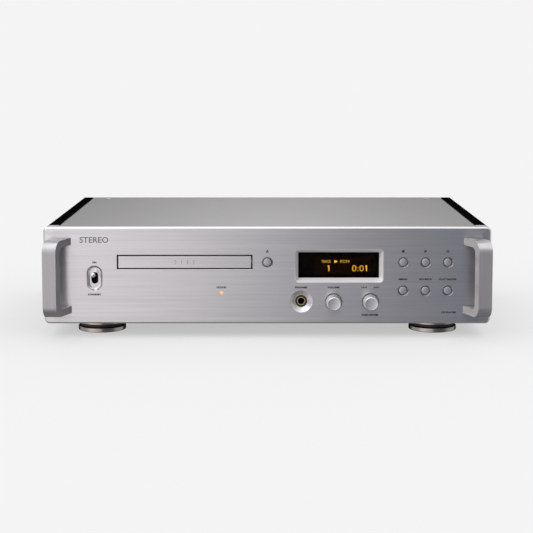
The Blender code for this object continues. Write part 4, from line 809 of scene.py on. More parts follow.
# %% Handles
HANDLE_LEG = 7 * mm
HANDLE_BAR = 8 * mm
HANDLE_BEND = 11 * mm
HANDLE_INNER_BEND = 6 * mm
HANDLE_BASE = (27.3 * mm, 8.9 * mm)  # inner and outer side, in from the panel's end
HANDLE_GRIP = (16.7 * mm, 3.6 * mm)
HANDLE_EDGE = 0.45 * mm


def handle_outline(low, high, reach):
    """(distance from the panel, height) points of the U."""
    steps = 14
    bend, inner_bend = HANDLE_BEND, HANDLE_INNER_BEND
    outer_x, inner_x = reach - bend, reach - HANDLE_BAR - inner_bend
    leg_low, leg_high = low + HANDLE_LEG, high - HANDLE_LEG
    points = [(0, high)]
    points += arc((outer_x, high - bend), bend, 1, 0, steps)
    points += arc((outer_x, low + bend), bend, 0, -1, steps)
    points += [(0, low), (0, leg_low)]
    points += arc((inner_x, leg_low + inner_bend), inner_bend, -1, 0, steps)
    points += arc((inner_x, leg_high - inner_bend), inner_bend, 0, 1, steps)
    points.append((0, leg_high))
    return points


def handle(side):
    spot = Place("handle_" + side)
    sign = -1 if side == "left" else 1
    foot_y = spot.high.y
    reach = foot_y - spot.low.y
    outline = handle_outline(spot.low.z, spot.high.z, reach)
    bm = bmesh.new()
    layers = []
    for base, grip in zip(HANDLE_BASE, HANDLE_GRIP):
        layer = []
        for distance, height in outline:
            inset = base + (grip - base) * distance / reach
            layer.append(bm.verts.new((sign * (panel.high.x - inset), foot_y - distance, height)))
        layers.append(layer)
    inside, outside = layers
    count = len(outline)
    for i in range(count):
        j = (i + 1) % count
        bm.faces.new((inside[i], inside[j], outside[j], outside[i]))
    bm.faces.new(inside)
    bm.faces.new(outside)
    sharp = [e for e in bm.edges if e.is_manifold and e.calc_face_angle() > math.radians(50)]
    bmesh.ops.bevel(bm, geom=sharp, offset=HANDLE_EDGE, segments=4, profile=0.5, affect="EDGES")
    return finished(bm, "handle_" + side, 40)


for side in ("left", "right"):
    dressed("handle_" + side, handle(side), handle_silver)

# %% [markdown]
# ## Feet
#
# A foot has three layers: a flange that is screwed under the case, a black ring, and a polished cup that
# stands on the shelf. Light catches the thin rims, so each rim is rounded.

# %% Feet
def disc_profile(radius, low, high, rim):
    """A disc with rounded rims, as a profile from its upper middle to its lower middle."""
    side = radius - rim
    points = [(0, high)] + arc((side, high - rim), rim, 1, 0, 4)
    return points + arc((side, low + rim), rim, 0, -1, 4) + [(0, low)]


for row in ("front", "rear"):
    for side in ("left", "right"):
        end = f"{row}_{side}"
        flange = Place("foot_flange_" + end)
        cup = Place("foot_cup_" + end)
        at = (cup.middle.x, cup.middle.y, 0)
        ring_top = cup.high.z + 3 * mm
        upper = disc_profile(flange.size.x / 2, ring_top, flange.high.z, 0.6 * mm)
        ring_radius = flange.size.x / 2 - 1.6 * mm
        ring = disc_profile(ring_radius, cup.high.z + 0.15 * mm, ring_top - 0.05 * mm, 0.4 * mm)
        lower = disc_profile(cup.size.x / 2, cup.low.z, cup.high.z, 0.8 * mm)
        dressed("foot_flange_" + end, turned("flange", upper, steps=96), foot_nickel, at)
        add("foot_ring_" + end, turned("ring", ring, steps=96), ring_black, at=at)
        dressed("foot_cup_" + end, turned("cup", lower, steps=96), foot_nickel, at)

# %% [markdown]
# ## Disc tray
#
# The tray's front is a strip of the same aluminium as the panel, flush in its opening. Behind it is a
# moulded deck with two round pockets, one for each standard disc size, and a slot for the spindle.

# %% Tray
def tray_front_strip():
    width, height = tray_front.size.x, tray_front.size.z
    chamfer = 0.4 * mm
    rings = [
        (rounded(width - 2 * chamfer, height - 2 * chamfer, 0.3 * mm, 3), 0),
        (rounded(width, height, 0.5 * mm, 3), -chamfer),
        (rounded(width, height, 0.5 * mm, 3), -tray_front.size.y),
    ]
    return skin("tray_strip", rings, at=tray_front.on(tray_front.low.y))


dressed("tray_front", tray_front_strip(), panel_silver)


# %% [markdown]
# The deck keeps the frame's solid, because its rack meshes with the loading gear. It is cut further: a round
# edge for the wide pocket, a deeper pocket for small discs, and two hollows for the fingers. A Boolean is
# enough here, since all the cutters are turned shapes.

# %% Deck of the tray
WIDE_DISC = 61.3 * mm
SMALL_DISC = 41 * mm
WIDE_POCKET = 3 * mm
SMALL_POCKET = 4 * mm
FINGER = 10 * mm


def tray_deck():
    deck = Place("disc_tray")
    centre = (Place("turntable").middle.x, Place("turntable").middle.y, deck.high.z)
    cutters = []
    edge = 0.6 * mm
    wide, small = WIDE_DISC, SMALL_DISC
    wide_profile = [(0, OVER), (wide + edge + OVER, OVER), (wide + edge, 0), (wide, -edge)]
    wide_profile += [(wide, -WIDE_POCKET), (0, -WIDE_POCKET)]
    small_profile = [(0, OVER), (small, OVER), (small, 0.5 * mm - WIDE_POCKET)]
    small_profile += [(small - 0.5 * mm, -SMALL_POCKET), (0, -SMALL_POCKET)]
    for profile in (wide_profile, small_profile):
        cutters.append(turned("pocket", profile, steps=128, at=centre))
    for side in (-1, 1):
        profile = [(0, OVER), (FINGER, OVER), (FINGER - 1 * mm, -SMALL_POCKET), (0, -SMALL_POCKET)]
        at = (centre[0] + side * 30 * mm, centre[1] - 50 * mm, centre[2])
        cutters.append(turned("finger", profile, steps=48, at=at))
    return carve("tray_deck", frame["nodes"]["disc_tray"].data.copy(), cutters)


dressed("disc_tray", tray_deck(), moulded_black)

# %% [markdown]
# ## Buttons, lamp and knobs
#
# All of these are turned. Each button has a faintly domed cap with a broken edge. A knob tapers towards
# its face, and the face has a wide chamfer and a very shallow hollow.

# %% Buttons and lamp
def button_mesh():
    spot = button_places["stop"]
    proud = face_y - spot.low.y
    rim = 0.45 * mm
    profile = [(0, proud + 0.12 * mm), (button_radius * 0.5, proud + 0.09 * mm)]
    profile += arc((button_radius - rim, proud - rim), rim, 1, 0, 6)
    stem_end = face_y - spot.high.y
    cap_back = -panel.size.y + 4 * mm
    profile += [(button_radius, cap_back), (1.5 * mm, cap_back), (1.5 * mm, stem_end), (0, stem_end)]
    return turned("button", profile, "-Y", 64)


for name, spot in button_places.items():
    at = spot.on(face_y)
    dressed(name + "_button", button_mesh(), button_silver, at)

lamp_profile = [(0, 0.25 * mm)]
for i in range(1, 7):
    angle = math.pi / 2 * i / 6
    lamp_profile.append((lamp.size.x / 2 * math.sin(angle), 0.25 * mm * math.cos(angle)))
lamp_profile += [(lamp.size.x / 2, -lamp.size.y), (0, -lamp.size.y)]
lamp_at = lamp.on(lamp.low.y)
dressed("clock_led", turned("lamp", lamp_profile, "-Y", 32), clock_glow, lamp_at)


# %% Knobs
KNOB_WELL = 4.5 * mm  # how deep in the panel a knob's skirt ends


def knob_mesh(spot, tail):
    """A knob with its shaft. The tail is the profile behind the skirt."""
    reach = face_y - spot.low.y
    radius = spot.size.x / 2
    face = radius - 1.35 * mm
    profile = [(0, reach - 0.35 * mm)]
    profile += near((face, reach), (-1.0, -0.3), (-0.55, -0.02), (-0.1, 0), (0, -0.08))
    profile += near((radius, reach), (-0.72, -0.75), (-0.6, -0.95), (-0.04, -9), (0, -9.6))
    profile += near((radius, -KNOB_WELL), (0, 0.3), (-0.3, 0))
    return turned("knob", profile + tail, "-Y", 96)


shaft = 3 * mm
volume_tail = [(shaft, -KNOB_WELL), (shaft, face_y - volume.high.y), (0, face_y - volume.high.y)]
volume_at = volume.on(face_y)
dressed("volume_knob", knob_mesh(volume, volume_tail), knob_silver, volume_at)
socket_depth = face_y - skip.low.y - 5 * mm
skip_tail = [(shaft + 0.3 * mm, -KNOB_WELL), (shaft + 0.3 * mm, socket_depth), (0, socket_depth)]
skip_at = skip.on(face_y)
dressed("skip_knob", knob_mesh(skip, skip_tail), knob_silver, skip_at)
redress(shaft_steel, "skip_shaft")

# %% [markdown]
# ## Power switch
#
# A chromed bat lever comes out of a slot in the dish. Its tip is a long drop shape that mirrors the whole
# room. It rides on its own body of the frame, which tilts it.

# %% Power switch
LEVER_TILT = math.radians(15)
LEVER_REACH = 15 * mm
LEVER_BALL = 2.5 * mm


def lever_mesh():
    pivot = panel.size.y / 2 + 0.5 * mm
    tip = pivot + LEVER_REACH
    steps = 14
    profile = arc((0, tip - LEVER_BALL), LEVER_BALL, 1, 0, steps)
    neck = 1.35 * mm
    for i in range(1, steps + 1):
        share = i / steps
        ease = share * share * (3 - 2 * share)
        profile.append((LEVER_BALL + (neck - LEVER_BALL) * ease, tip - LEVER_BALL - 11 * mm * share))
    tail = -pivot - 2 * mm
    profile += [(neck, tail), (0, tail)]
    return turned("lever", profile, "-Y", 64), pivot


lever, pivot = lever_mesh()
lever_at = switch.on(face_y + pivot)
dressed("toggle_lever", lever, chrome, lever_at, (-LEVER_TILT, 0, 0))
redress(moulded_black, "toggle_switch")

# %% [markdown]
# ## Display
#
# Behind the glass is a black module with a faintly glowing field. The characters lie on the field as thin
# raised shapes that shine. They say which track plays and for how long.

# %% Text and marks
PRINT = 0.03 * mm


def text(
    name, words, x, z, width, height, y, finish, slot="black_plastic", weight=0.0, facing="-Y", body="player"
):
    """Flat letters fitted to a width and a height of capital letters."""
    curve = bpy.data.curves.new(name, "FONT")
    curve.body = words
    curve.resolution_u = 3
    curve.extrude = PRINT / 2
    curve.offset = weight
    guide = bpy.data.objects.new(name, curve)
    bpy.context.scene.collection.objects.link(guide)
    bpy.context.view_layer.update()
    graph = bpy.context.evaluated_depsgraph_get()
    mesh = bpy.data.meshes.new_from_object(guide.evaluated_get(graph))
    bpy.data.objects.remove(guide)
    xs = [v.co.x for v in mesh.vertices]
    ys = [v.co.y for v in mesh.vertices]
    middle = (min(xs) + max(xs)) / 2
    fit = Matrix.Diagonal((width / (max(xs) - min(xs)), height / (max(ys) - min(ys)), 1, 1))
    mesh.transform(fit @ Matrix.Translation((-middle, -min(ys), 0)))
    mesh.transform(Matrix.Translation((x, y, z)) @ FACING[facing])
    return add(name, mesh, finish, body)


def mark(name, shapes, x, z, y, finish, facing="-Y"):
    """Flat printed shapes, each a list of (x, z) points in millimetres."""
    pieces = []
    for shape in shapes:
        points = [(a * mm, b * mm) for a, b in shape]
        pieces.append(skin("mark", [(points, PRINT / 2), (points, -PRINT / 2)], facing, (x, y, z)))
    return add(name, joined(name, pieces), finish)


# %% Display pieces
module = Place("display_module")
screen_y = module.low.y
dressed(
    "display_window",
    block("window", window.low, window.high, 0.3 * mm),
    window_glass,
)
redress(screen_black, "display_module")
add("window_surround", surround_mesh(), blasted_silver)

FIELD = Vector((-23.2, -0.06, -9.5)) * mm, Vector((32.7, -0.01, 7.9)) * mm  # its corners from the middle
field_low, field_high = [Vector(window.on(screen_y)) + corner for corner in FIELD]
add("display_field", block("field", field_low, field_high, 0), glow_field)
letters_y = screen_y - 0.1 * mm
screen_x, screen_z = window.middle.x, window.middle.z
TRIANGLE = [(-1.6, -1.5), (1.7, 0), (-1.6, 1.5)]
ONE = [(-0.05, 0), (0.75, 0), (0.75, 5.8), (0.1, 5.8), (-0.85, 4.9), (-0.85, 4.1), (-0.05, 4.6)]
SIGNS = [  # name, words or outline, then x, z, width and height in millimetres
    ("track_word", "TRACK", -12.5, 1.7, 9.4, 2.8),
    ("format", "PCM", 6.2, 1.7, 8.6, 2.8),
    ("track", ONE, -10, -6.6),
    ("time", "0:0", 19.4, -6.7, 11.4, 5.9),
    ("seconds", ONE, 27.6, -6.6),
    ("play", TRIANGLE, -2.5, 3.1),
]
for name, sign, x, z, *size in SIGNS:
    name, x, z = "display_" + name, screen_x + x * mm, screen_z + z * mm
    if size:
        width, height = size
        text(name, sign, x, z, width * mm, height * mm, letters_y, amber, "amber_light", weight=-0.02)
    else:
        mark(name, [sign], x, z, letters_y, amber)

# %% [markdown]
# ## Headphone jack
#
# The cone in the panel leads the plug to a black nut. The contact ring inside it is gold-plated, and it is
# the only warm colour on the front.

# %% Headphone jack
jack_front = -JACK_DISH_DEPTH - 0.3 * mm
bore = 3.25 * mm


def jack_mesh():
    depth = 36 * mm
    front, nut_back, end = jack_front, -panel.size.y - 1 * mm, -depth - 1 * mm
    profile = near((bore, front), (0, -0.5), (0.5, 0)) + near((JACK_NUT, front), (-0.3, 0), (0, -0.3))
    profile.append((JACK_NUT, nut_back))
    profile += [(bore + 1 * mm, nut_back), (bore + 1 * mm, end), (0, -depth), (bore, -depth)]
    sleeve = turned("sleeve", profile, "-Y", 64, at=jack.on(face_y))
    low = Vector((jack.low.x, panel_back_y + 0.3 * mm, jack.low.z))
    body = block("body", low, jack.high, 0.6 * mm)
    hole_radius, hole_end = bore + 1.2 * mm, -depth - 1.5 * mm
    hole = [(0, -panel.size.y), (hole_radius, -panel.size.y), (hole_radius, hole_end), (0, hole_end)]
    return joined("jack", [sleeve, carve("body", body, [turned("hole", hole, "-Y", 48, at=jack.on(face_y))])])


dressed("headphone_jack", jack_mesh(), moulded_black)
ring_profile = near((bore, 0), (0.02, 0.1), (0.2, 0.35), (0.75, 0.35), (0.9, 0.1), (0.9, -0.5), (0.02, -3))
ring_at = jack.on(face_y - jack_front)
contact_ring = turned("ring", ring_profile, "-Y", 64, True)
add("jack_contact_ring", contact_ring, gold, at=ring_at)

# %% [markdown]
# ## Printing on the panel
#
# The words are printed in dark ink, in small plain capitals. Only their function is kept: the name at the
# upper left is the plain word STEREO. Marks such as the play triangle are drawn from a few points.

# %% Words on the panel
INK_PROUD = 0.012 * mm
ink_y = face_y - INK_PROUD
PRODUCT_X = 180.7 * mm
WORDS = [
    # name, words, x, then z and width in millimetres
    ("label_on", "ON", switch.middle.x, 74.6, 4.3),
    ("label_standby", "STANDBY", switch.middle.x, 42.4, 13.3),
    ("label_clock", "CLOCK", lamp.middle.x, 49.6, 10.3),
    ("label_phones", "PHONES", jack.middle.x, 49.5, 12.4),
    ("label_volume", "VOLUME", volume.middle.x, 49.5, 12.2),
    ("label_enter", "PUSH ENTER", skip.middle.x, 21.8, 17.0),
    ("label_menu", "MENU", button_places["menu"].middle.x, 57.7, 8.9),
    ("label_source", "SOURCE", button_places["source"].middle.x, 57.7, 12.6),
    ("label_play_mode", "PLAY MODE", button_places["play_mode"].middle.x, 57.7, 17.3),
    ("label_product", "CD PLAYER", PRODUCT_X, 24.4, 15.3),
]
for name, words, x, z, width in WORDS:
    text(name, words, x, z * mm, width * mm, 1.9 * mm, ink_y, ink, weight=0.07)
name_x = switch.middle.x
text("name_word", "STEREO", name_x, 95.1 * mm, 28.5 * mm, 5.9 * mm, ink_y, logo_grey, weight=0.012)
tray_ink_y = tray_front.low.y - INK_PROUD
tray_grey = grained("tray_grey", (0.34, 0.33, 0.335), 0.35, 3000.0, 0.002 * mm, Metallic=0.9)
for i, letter in enumerate("DISC"):
    x = tray_front.middle.x + (i - 1.5) * 6 * mm
    z = tray_front.middle.z - 2.1 * mm
    wide = 0.5 * mm if letter == "I" else 1.5 * mm
    name = f"tray_letter_{i}"
    text(name, letter, x, z, wide, 4.2 * mm, tray_ink_y, tray_grey, weight=0.03, body="tray")

# %% Marks on the panel
def square(x0, z0, x1, z1):
    return [(x0, z0), (x1, z0), (x1, z1), (x0, z1)]


def arrow(x, way, size):
    return [(x, -size), (x + way * 2 * size * 0.9, 0), (x, size)]


MARK_SIZE = 1.2
MARKS = {
    "eject": [[(-1.3, -0.2), (1.3, -0.2), (0, 1.2)], square(-1.3, -1.1, 1.3, -0.6)],
    "stop": [square(-1.1, -1.1, 1.1, 1.1)],
    "play": [[(-1.1, -1.2), (1.4, 0), (-1.1, 1.2)]],
    "pause": [square(-1.1, -1.2, -0.35, 1.2), square(0.35, -1.2, 1.1, 1.2)],
}
for name, shapes in MARKS.items():
    spot = button_places[name].middle
    shapes = [[(a * MARK_SIZE, b * MARK_SIZE) for a, b in shape] for shape in shapes]
    mark("mark_" + name, shapes, spot.x, spot.z + 10.9 * mm, ink_y, ink)
skip_z = skip.middle.z + 14.3 * mm
back_shapes = [square(-2.9, -1, -2.35, 1), arrow(-0.1, -1, 1.1), arrow(2.3, -1, 1.1)]
next_shapes = [[(-a, b) for a, b in shape] for shape in back_shapes]
mark("mark_back", back_shapes, skip.middle.x - 6.1 * mm, skip_z, ink_y, ink)
mark("mark_next", next_shapes, skip.middle.x + 5.8 * mm, skip_z, ink_y, ink)

# %% [markdown]
# ## Studio
#
# The floor and the surround have one pale tone, so no horizon shows. Half of the floor's light is its own,
# which keeps the shadow under the player soft and pale.
#
# Polished and brushed metal shows the room and not the lamp. So a big tent stands round the player, which
# only reflections see: white on the left and above, dark on the right. Brushing blurs its edge into the
# long slope from light to dark that gives the panel its form.

# %% Floor and surround
PALE = 0.905
FLOOR_SHARE = 0.46  # of the floor's light that falls on it, and isn't its own


def floor():
    bm = bmesh.new()
    bmesh.ops.create_grid(bm, x_segments=1, y_segments=1, size=12)
    sheet = bpy.data.objects.new("floor", finished(bm, "floor"))
    own = PALE * (1 - FLOOR_SHARE)
    finish = Finish("floor_paper", Roughness=1.0, Specular_IOR_Level=0.0, Emission_Strength=own)
    fibres = finish.noise(finish.place(), 60.0, 3.0)
    low, high = FLOOR_SHARE - 0.003, FLOOR_SHARE + 0.003
    finish.paint(Base_Color=finish.mix(fibres, (low, low, low), (high, high, high)))
    finish.shader.inputs["Emission Color"].default_value = (1, 1, 1, 1)
    sheet.data.materials.append(finish.material)
    sheet.visible_glossy = False
    bpy.context.scene.collection.objects.link(sheet)


def surround():
    world = bpy.data.worlds.new("surround")
    world.use_nodes = True
    world.node_tree.nodes["Background"].inputs["Color"].default_value = (PALE, PALE, PALE, 1)
    bpy.context.scene.world = world


def key_light():
    """A soft key from the upper left. It leaves out the floor, so that the player has no hard shadow."""
    light = bpy.data.lights.new("key", "SUN")
    light.energy = 3.0
    light.angle = math.radians(25)
    key = bpy.data.objects.new("key", light)
    key.visible_glossy = False
    key.rotation_euler = Vector((0.5, 0.6, -0.7)).to_track_quat("-Z", "Y").to_euler()
    bpy.context.scene.collection.objects.link(key)
    unlit = bpy.data.collections.new("unlit by key")
    unlit.objects.link(bpy.data.objects["floor"])
    unlit.collection_objects[0].light_linking.link_state = "EXCLUDE"
    key.light_linking.receiver_collection = unlit


floor()
surround()
key_light()

# %% The tent that reflections see
TENT_FAR_LEFT = (1.72, 1.67, 1.65)
TENT_LEFT = (1.15, 1.11, 1.13)
TENT_RIGHT = (0.18, 0.193, 0.235)
TENT_BACK = (1.0, 0.99, 1.0)
TENT_ABOVE = (2.5, 2.48, 2.49)
TENT_ABOVE_RIGHT = (1.3, 1.3, 1.32)
TENT_ABOVE_REAR = (0.9, 0.9, 0.91)
TENT_SIDE = (0.75, 0.75, 0.77)
TENT_BELOW = (0.3, 0.29, 0.29)

TENT_RADIUS = 5


def tent():
    bm = bmesh.new()
    bmesh.ops.create_icosphere(bm, subdivisions=4, radius=TENT_RADIUS)
    dome = bpy.data.objects.new("tent", finished(bm, "tent"))
    finish = Finish("tent_cloth", Roughness=1.0, Specular_IOR_Level=0.0, Emission_Strength=1.0)
    finish.shader.inputs["Base Color"].default_value = (0, 0, 0, 1)
    way = finish.place((1 / TENT_RADIUS,) * 3)
    x, y, z = [finish.node("ShaderNodeSeparateXYZ", {}, {0: way}, axis) for axis in range(3)]
    aside = finish.node("ShaderNodeMath", {"operation": "ABSOLUTE"}, {0: x})
    left = finish.mix(finish.spread(x, -0.25, -0.7, "SMOOTHSTEP"), TENT_LEFT, TENT_FAR_LEFT)
    front = finish.mix(finish.spread(x, -0.17, 0.15, "SMOOTHSTEP"), left, TENT_RIGHT)
    front = finish.scaled(front, 0.66 + 0.66 * finish.spread(z, -0.5, 0.25))
    rise = finish.spread(z, 0.0, 0.25)
    fall = 1 - 0.3 * finish.spread(aside, 0.0, 0.22, "SMOOTHSTEP")
    back = finish.scaled(finish.mix(rise, (0, 0, 0), TENT_BACK), (0.1 + 1.0 * rise) * fall)
    above = finish.mix(finish.spread(x, -0.6, 0.6, "SMOOTHSTEP"), TENT_ABOVE, TENT_ABOVE_RIGHT)
    above = finish.mix(finish.spread(y, 0.1, 0.35, "SMOOTHSTEP"), above, TENT_ABOVE_REAR)
    front = finish.mix(finish.spread(y, -0.6, -0.2, "SMOOTHSTEP"), front, TENT_SIDE)
    level = finish.mix(finish.spread(y, 0.35, 0.75, "SMOOTHSTEP"), front, back)
    raised = finish.mix(finish.spread(z, 0.3, 0.85, "SMOOTHSTEP"), level, above)
    whole = finish.mix(finish.spread(z, -0.45, -0.85, "SMOOTHSTEP"), raised, TENT_BELOW)
    finish.paint(Emission_Color=whole)
    finish.material.cycles.emission_sampling = "NONE"
    dome.data.materials.append(finish.material)
    for rays in ("camera", "diffuse", "transmission", "volume_scatter", "shadow"):
        setattr(dome, "visible_" + rays, False)
    bpy.context.scene.collection.objects.link(dome)


tent()

# %% [markdown]
# ## Rear sockets
#
# Plugs come from behind. A phono or coaxial socket is a gold-plated barrel with a coloured ring: red for
# the right channel, white for the left, black for digital. The barrels are turned, and their places are
# read from the frame's block of sockets: the outer barrels are a fixed step in from its ends.

# %% Barrels and rings
analog = Place("analog_jacks")
sockets_z = analog.middle.z
BLOCK_MARGIN = 8 * mm  # a barrel's axis to the end of its block
PHONO = 4.15 * mm
PHONO_REACH = analog.high.y - rear_y
BLOCKS = {  # the step from barrel to barrel, then the ring round each
    "analog_jacks": (20 * mm, red_plastic, white_plastic),
    "digital_jacks": (16 * mm, moulded_black, moulded_black),
}


def barrel():
    """A plug barrel with a rolled mouth and a bore."""
    bore, lip, reach = 1.75 * mm, 0.35 * mm, PHONO_REACH
    profile = [(bore, reach - 8 * mm), (bore, reach - lip), (bore + lip, reach)]
    profile += [(PHONO - lip, reach), (PHONO, reach - lip), (PHONO, 0.4 * mm)]
    profile += [(PHONO - 0.15 * mm, -2 * mm), (bore, -2 * mm)]
    return turned("barrel", profile, "Y", 64, True)


def socket_ring():
    inner = PHONO + 0.05 * mm
    profile = [(inner, 0), (inner, 2.2 * mm)] + in_mm((5.4, 2.2), (5.8, 1.8), (5.8, 0))
    return turned("ring", profile, "Y", 64, True)


def core():
    """The white insulator inside a barrel."""
    end = PHONO_REACH - 4 * mm
    return turned("core", [(0, end), (1.7 * mm, end), (1.7 * mm, 0), (0, 0)], "Y", 32)


for node, (step, *rings) in BLOCKS.items():
    spot = Place(node)
    body_high = Vector((spot.high.x, rear.low.y - 0.3 * mm, sockets_z + 8 * mm))
    body_low = Vector((spot.low.x, spot.low.y, sockets_z - 8 * mm))
    dressed(node, block(node, body_low, body_high, 0.8 * mm), moulded_black)
    for i, ring in enumerate(rings):
        at = (spot.high.x - BLOCK_MARGIN - i * step, rear_y, sockets_z)
        add(f"barrel_{node}_{i}", barrel(), gold, at=at)
        add(f"ring_{node}_{i}", socket_ring(), ring, at=at)
        add(f"core_{node}_{i}", core(), white_plastic, at=at)


# %% [markdown]
# The optical and USB sockets are square. Each is a rounded sleeve with a shutter or a tongue set back
# in it, so that the mouth reads as deep. `skin` makes the sleeve from rings that go in and come back.

# %% Square sockets
OPTICAL_STEP = 16 * mm


def sleeve(half, wall, proud, deep):
    """A square tube that faces back, from proud of the rear panel to deep inside."""
    corner = 0.8 * mm
    outer, inner = 2 * half, 2 * (half - wall)
    steps = [  # side, corner and height
        (outer, corner, -deep),
        (outer, corner, proud - 0.3 * mm),
        (outer - 0.6 * mm, corner, proud),
        (inner + 0.5 * mm, corner * 0.6, proud),
        (inner, corner * 0.5, proud - 0.4 * mm),
        (inner, corner * 0.5, -deep),
    ]
    rings = [(rounded(side, side, radius, 5), height) for side, radius, height in steps]
    return skin("sleeve", rings, "Y", hollow=True)


def slab(name, x, z, half_x, half_z, front, back, edge):
    """A box round (x, z), between two depths that are measured in mm from the rear panel."""
    low = Vector((x - half_x * mm, rear_y + front * mm, z - half_z * mm))
    high = Vector((x + half_x * mm, rear_y + back * mm, z + half_z * mm))
    return block(name, low, high, edge)


optical_end = Place("digital_jacks").low.x + BLOCK_MARGIN
for i in range(2):
    x = optical_end + (1 - i) * OPTICAL_STEP
    shell = sleeve(4.8 * mm, 1.7 * mm, 2 * mm, 3 * mm)
    shutter = slab("shutter", x, sockets_z, 3.2, 3.2, -1.2, -0.4, 0.3 * mm)
    add(f"optical_sleeve_{i}", shell, moulded_black, at=(x, rear_y, sockets_z))
    add(f"optical_shutter_{i}", shutter, ring_black)

usb = Place("usb_port")
usb_sleeve = sleeve(usb.size.x / 2, 1.2 * mm, 1 * mm, 14 * mm)
dressed("usb_port", usb_sleeve, nickel, usb.on(rear_y))
tongue = slab("tongue", usb.middle.x, usb.middle.z, 2.8, 1.6, -10, 0, 0.3 * mm)
add("usb_tongue", tongue, white_plastic)


# %% [markdown]
# A balanced socket is a round shell with a flange and three pins. The clock socket is a bayonet barrel
# with a nut. Both are turned, and their pins are small turned pieces set in a circle.

# %% Balanced sockets
PIN_CIRCLE = 3.6 * mm
PIN_RADIUS = 1.2 * mm
CUP_RADIUS = 8.8 * mm


def pin_mesh(radius, length):
    tip = radius * 0.8
    profile = [(0, 0), (radius - tip * 0.5, 0), (radius, -tip), (radius, -length), (0, -length)]
    return turned("pin", profile, "Y", 24)


def balanced(side):
    node = "xlr_output_" + side
    spot = Place(node)
    outer = spot.size.x / 2
    proud = spot.high.y - rear_y
    depth = spot.size.y - proud
    soft = 0.5 * mm
    profile = [(0, 4 * mm - depth), (CUP_RADIUS, 4 * mm - depth), (CUP_RADIUS, proud - soft)]
    profile += [(CUP_RADIUS + soft, proud), (outer - soft, proud), (outer, proud - soft)]
    profile += [(outer, -depth), (0, -depth)]
    at = spot.on(rear_y)
    dressed(node, turned(node, profile, "Y", 72), moulded_black, at)
    for i in range(3):
        a = math.radians(90 + 120 * i)
        pin_at = (at[0] + PIN_CIRCLE * math.cos(a), rear_y - 4 * mm, at[2] + PIN_CIRCLE * math.sin(a))
        add(f"pin_{side}_{i}", pin_mesh(PIN_RADIUS, depth - 8 * mm), gold, at=pin_at)
    inner, wall = CUP_RADIUS - 0.9 * mm, CUP_RADIUS - 0.05 * mm
    front, back = proud - 1.4 * mm, -6 * mm
    rim = [(inner, front), (wall, front), (wall, back), (inner, back)]
    add(f"shell_{side}", turned("shell", rim, "Y", 64, True), nickel, at=at)


for side in ("left", "right"):
    balanced(side)

# %% Clock socket
clock = Place("clock_input")
clock_at = clock.on(rear_y)
reach = clock.high.y - rear_y
clock_profile = [(3.5 * mm, reach - 8 * mm), (3.5 * mm, reach - 0.3 * mm), (3.8 * mm, reach)]
clock_profile += [(4.6 * mm, reach), (4.8 * mm, reach - 0.3 * mm), (4.8 * mm, -14 * mm)]
clock_profile += [(0, -14 * mm), (0, reach - 8 * mm)]
nut = polygon(6, 8 * mm)
parts = [turned("clock", clock_profile, "Y", 64), skin("nut", [(nut, 0.3 * mm), (nut, 1.5 * mm)], "Y")]
for facing, out in (("X", 1), ("-X", -1)):
    lug = turned("lug", in_mm((0, 1.2), (0.9, 1.2), (0.9, 0), (0, 0)), facing, 20)
    lug.transform(Matrix.Translation((out * 4.6 * mm, reach - 2.6 * mm, 0)))
    parts.append(lug)
dressed("clock_input", joined("clock", parts), nickel, clock_at)
contact_at = clock.on(rear_y + reach - 2 * mm)
add("clock_contact", pin_mesh(0.7 * mm, 6 * mm), gold, at=contact_at)

# %% Mains inlet
inlet = Place("ac_inlet")
proud = inlet.high.y - rear_y
INLET_RINGS = [  # how much smaller than the frame's box, corner and height
    (0, 2 * mm, proud - inlet.size.y),
    (0, 2 * mm, proud - 0.4 * mm),
    (0.8 * mm, 2 * mm, proud),
    (4.6 * mm, 3 * mm, proud),
    (5.2 * mm, 3 * mm, proud - 0.4 * mm),
    (5.2 * mm, 3 * mm, proud - 17 * mm),
]
cup_rings = [
    (rounded(inlet.size.x - less, inlet.size.z - less, corner, 6), height)
    for less, corner, height in INLET_RINGS
]
dressed("ac_inlet", skin("inlet", cup_rings, "Y"), moulded_black, inlet.on(rear_y))
for i, (dx, dz) in enumerate(((-7, -2), (7, -2), (0, 2))):
    x, z = inlet.middle.x + dx * mm, inlet.middle.z + dz * mm
    blade = slab("blade", x, z, 1, 2, proud / mm - 17, proud / mm - 6, 0.4 * mm)
    add(f"inlet_blade_{i}", blade, nickel)

# %% [markdown]
# ## Printing and screws at the back
#
# The rear panel is printed in white. Each group of sockets has one plain word under or over it. Case screws
# sit along the edge of the rear panel and of the bottom plate.

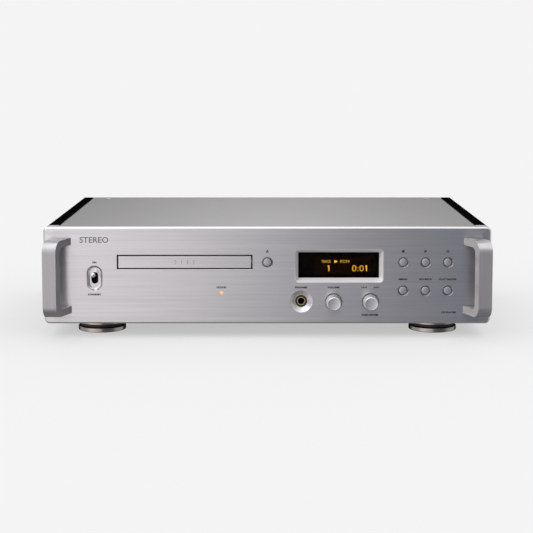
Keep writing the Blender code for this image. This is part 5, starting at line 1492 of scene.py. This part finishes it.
# %% Rear words and screws
print_y = rear_y + 0.02 * mm
digital = Place("digital_jacks")
HEADING, LABEL, SIDE_LABEL = 80, 49, 43  # heights above the shelf, in mm
RULE_Z = 77.5
BALANCED_X = 120 * mm  # midway between the two balanced sockets
REAR_WORDS = [  # name, words, x, then z, width and height in mm
    ("analog", "ANALOG OUT", analog.middle.x, HEADING, 26, 2.4),
    ("right", "R", analog.high.x - BLOCK_MARGIN, LABEL, 1.7, 2.2),
    ("left", "L", analog.low.x + BLOCK_MARGIN, LABEL, 1.4, 2.2),
    ("balanced", "BALANCED OUT", BALANCED_X, HEADING, 32, 2.4),
    ("balanced_right", "R", Place("xlr_output_right").middle.x, SIDE_LABEL, 1.7, 2.2),
    ("balanced_left", "L", Place("xlr_output_left").middle.x, SIDE_LABEL, 1.4, 2.2),
    ("digital", "DIGITAL IN / OUT", digital.middle.x, HEADING, 36, 2.4),
    ("coaxial", "COAXIAL", digital.high.x - 16 * mm, LABEL, 16, 2.0),
    ("optical", "OPTICAL", digital.low.x + 16 * mm, LABEL, 15, 2.0),
    ("usb", "USB", usb.middle.x, LABEL, 7, 2.0),
    ("clock", "CLOCK IN", clock.middle.x, LABEL, 15, 2.0),
    ("mains", "AC IN", inlet.middle.x, LABEL, 11, 2.4),
]
for name, words, x, z, width, height in REAR_WORDS:
    size = (width * mm, height * mm)
    text("rear_" + name, words, x, z * mm, *size, print_y, white_print, weight=0.02, facing="Y")
RULES = {"analog": (160, 196), "balanced": (92, 148), "digital": (16, 82)}
for name, (x0, x1) in RULES.items():
    half = (x1 - x0) / 2
    line = [square(-half, -0.15, half, 0.15)]
    mark("rule_" + name, line, (x0 + x1) / 2 * mm, RULE_Z * mm, print_y, white_print, facing="Y")

SCREW_COLUMNS = [-1, -0.6, -0.2, 0.2, 0.6, 1]
EDGE_SCREW = {"finish": case_screw, "slot": "black_metal", "cup": 0.9}
PROUD = 0.9 * mm
for i, share in enumerate(SCREW_COLUMNS):
    x = share * (rear.high.x - 8 * mm)
    for row, z in (("low", rear.low.z + 6 * mm), ("high", rear.high.z - 6 * mm)):
        screw(f"rear_screw_{row}_{i}", 2.8 * mm, "Y", (x, rear_y + PROUD, z), **EDGE_SCREW)
floor_plate = Place("bottom_plate")
for i, share in enumerate(SCREW_COLUMNS):
    x = share * (floor_plate.high.x - 8 * mm)
    for row, y in (("front", floor_plate.low.y + 6 * mm), ("rear", floor_plate.high.y - 6 * mm)):
        at = (x, y, floor_plate.low.z - PROUD)
        screw(f"floor_screw_{row}_{i}", 2.8 * mm, "-Z", at, **EDGE_SCREW)

# %% [markdown]
# ## Inside and behind
#
# Most of what is inside is only seen when the tray is out, or when the player is taken apart. It keeps
# the frame's shapes and gets its own finishes.

# %% Inner finishes
redress(zinc, "mech_frame", "clamp_bridge", "traverse_plate")
redress(motor_steel, "loading_motor", "spindle_motor", "sled_motor", "guide_rod_left", "guide_rod_right")
redress(nylon_white, "loading_gear", "motor_pulley", "sled_gear", "pickup")
redress(rubber_black, "drive_belt", "clamper")
redress(platter_silver, "turntable")
board_green = grained("board_green", (0.02, 0.13, 0.06), 0.4, 400.0, 0.01 * mm, 0.3)
redress(board_green, "control_board", "main_board", "power_board")
tape = grained("tape", (0.4, 0.2, 0.06), 0.5, 300.0, 0.03 * mm, 0.25)
redress(tape, "transformer")
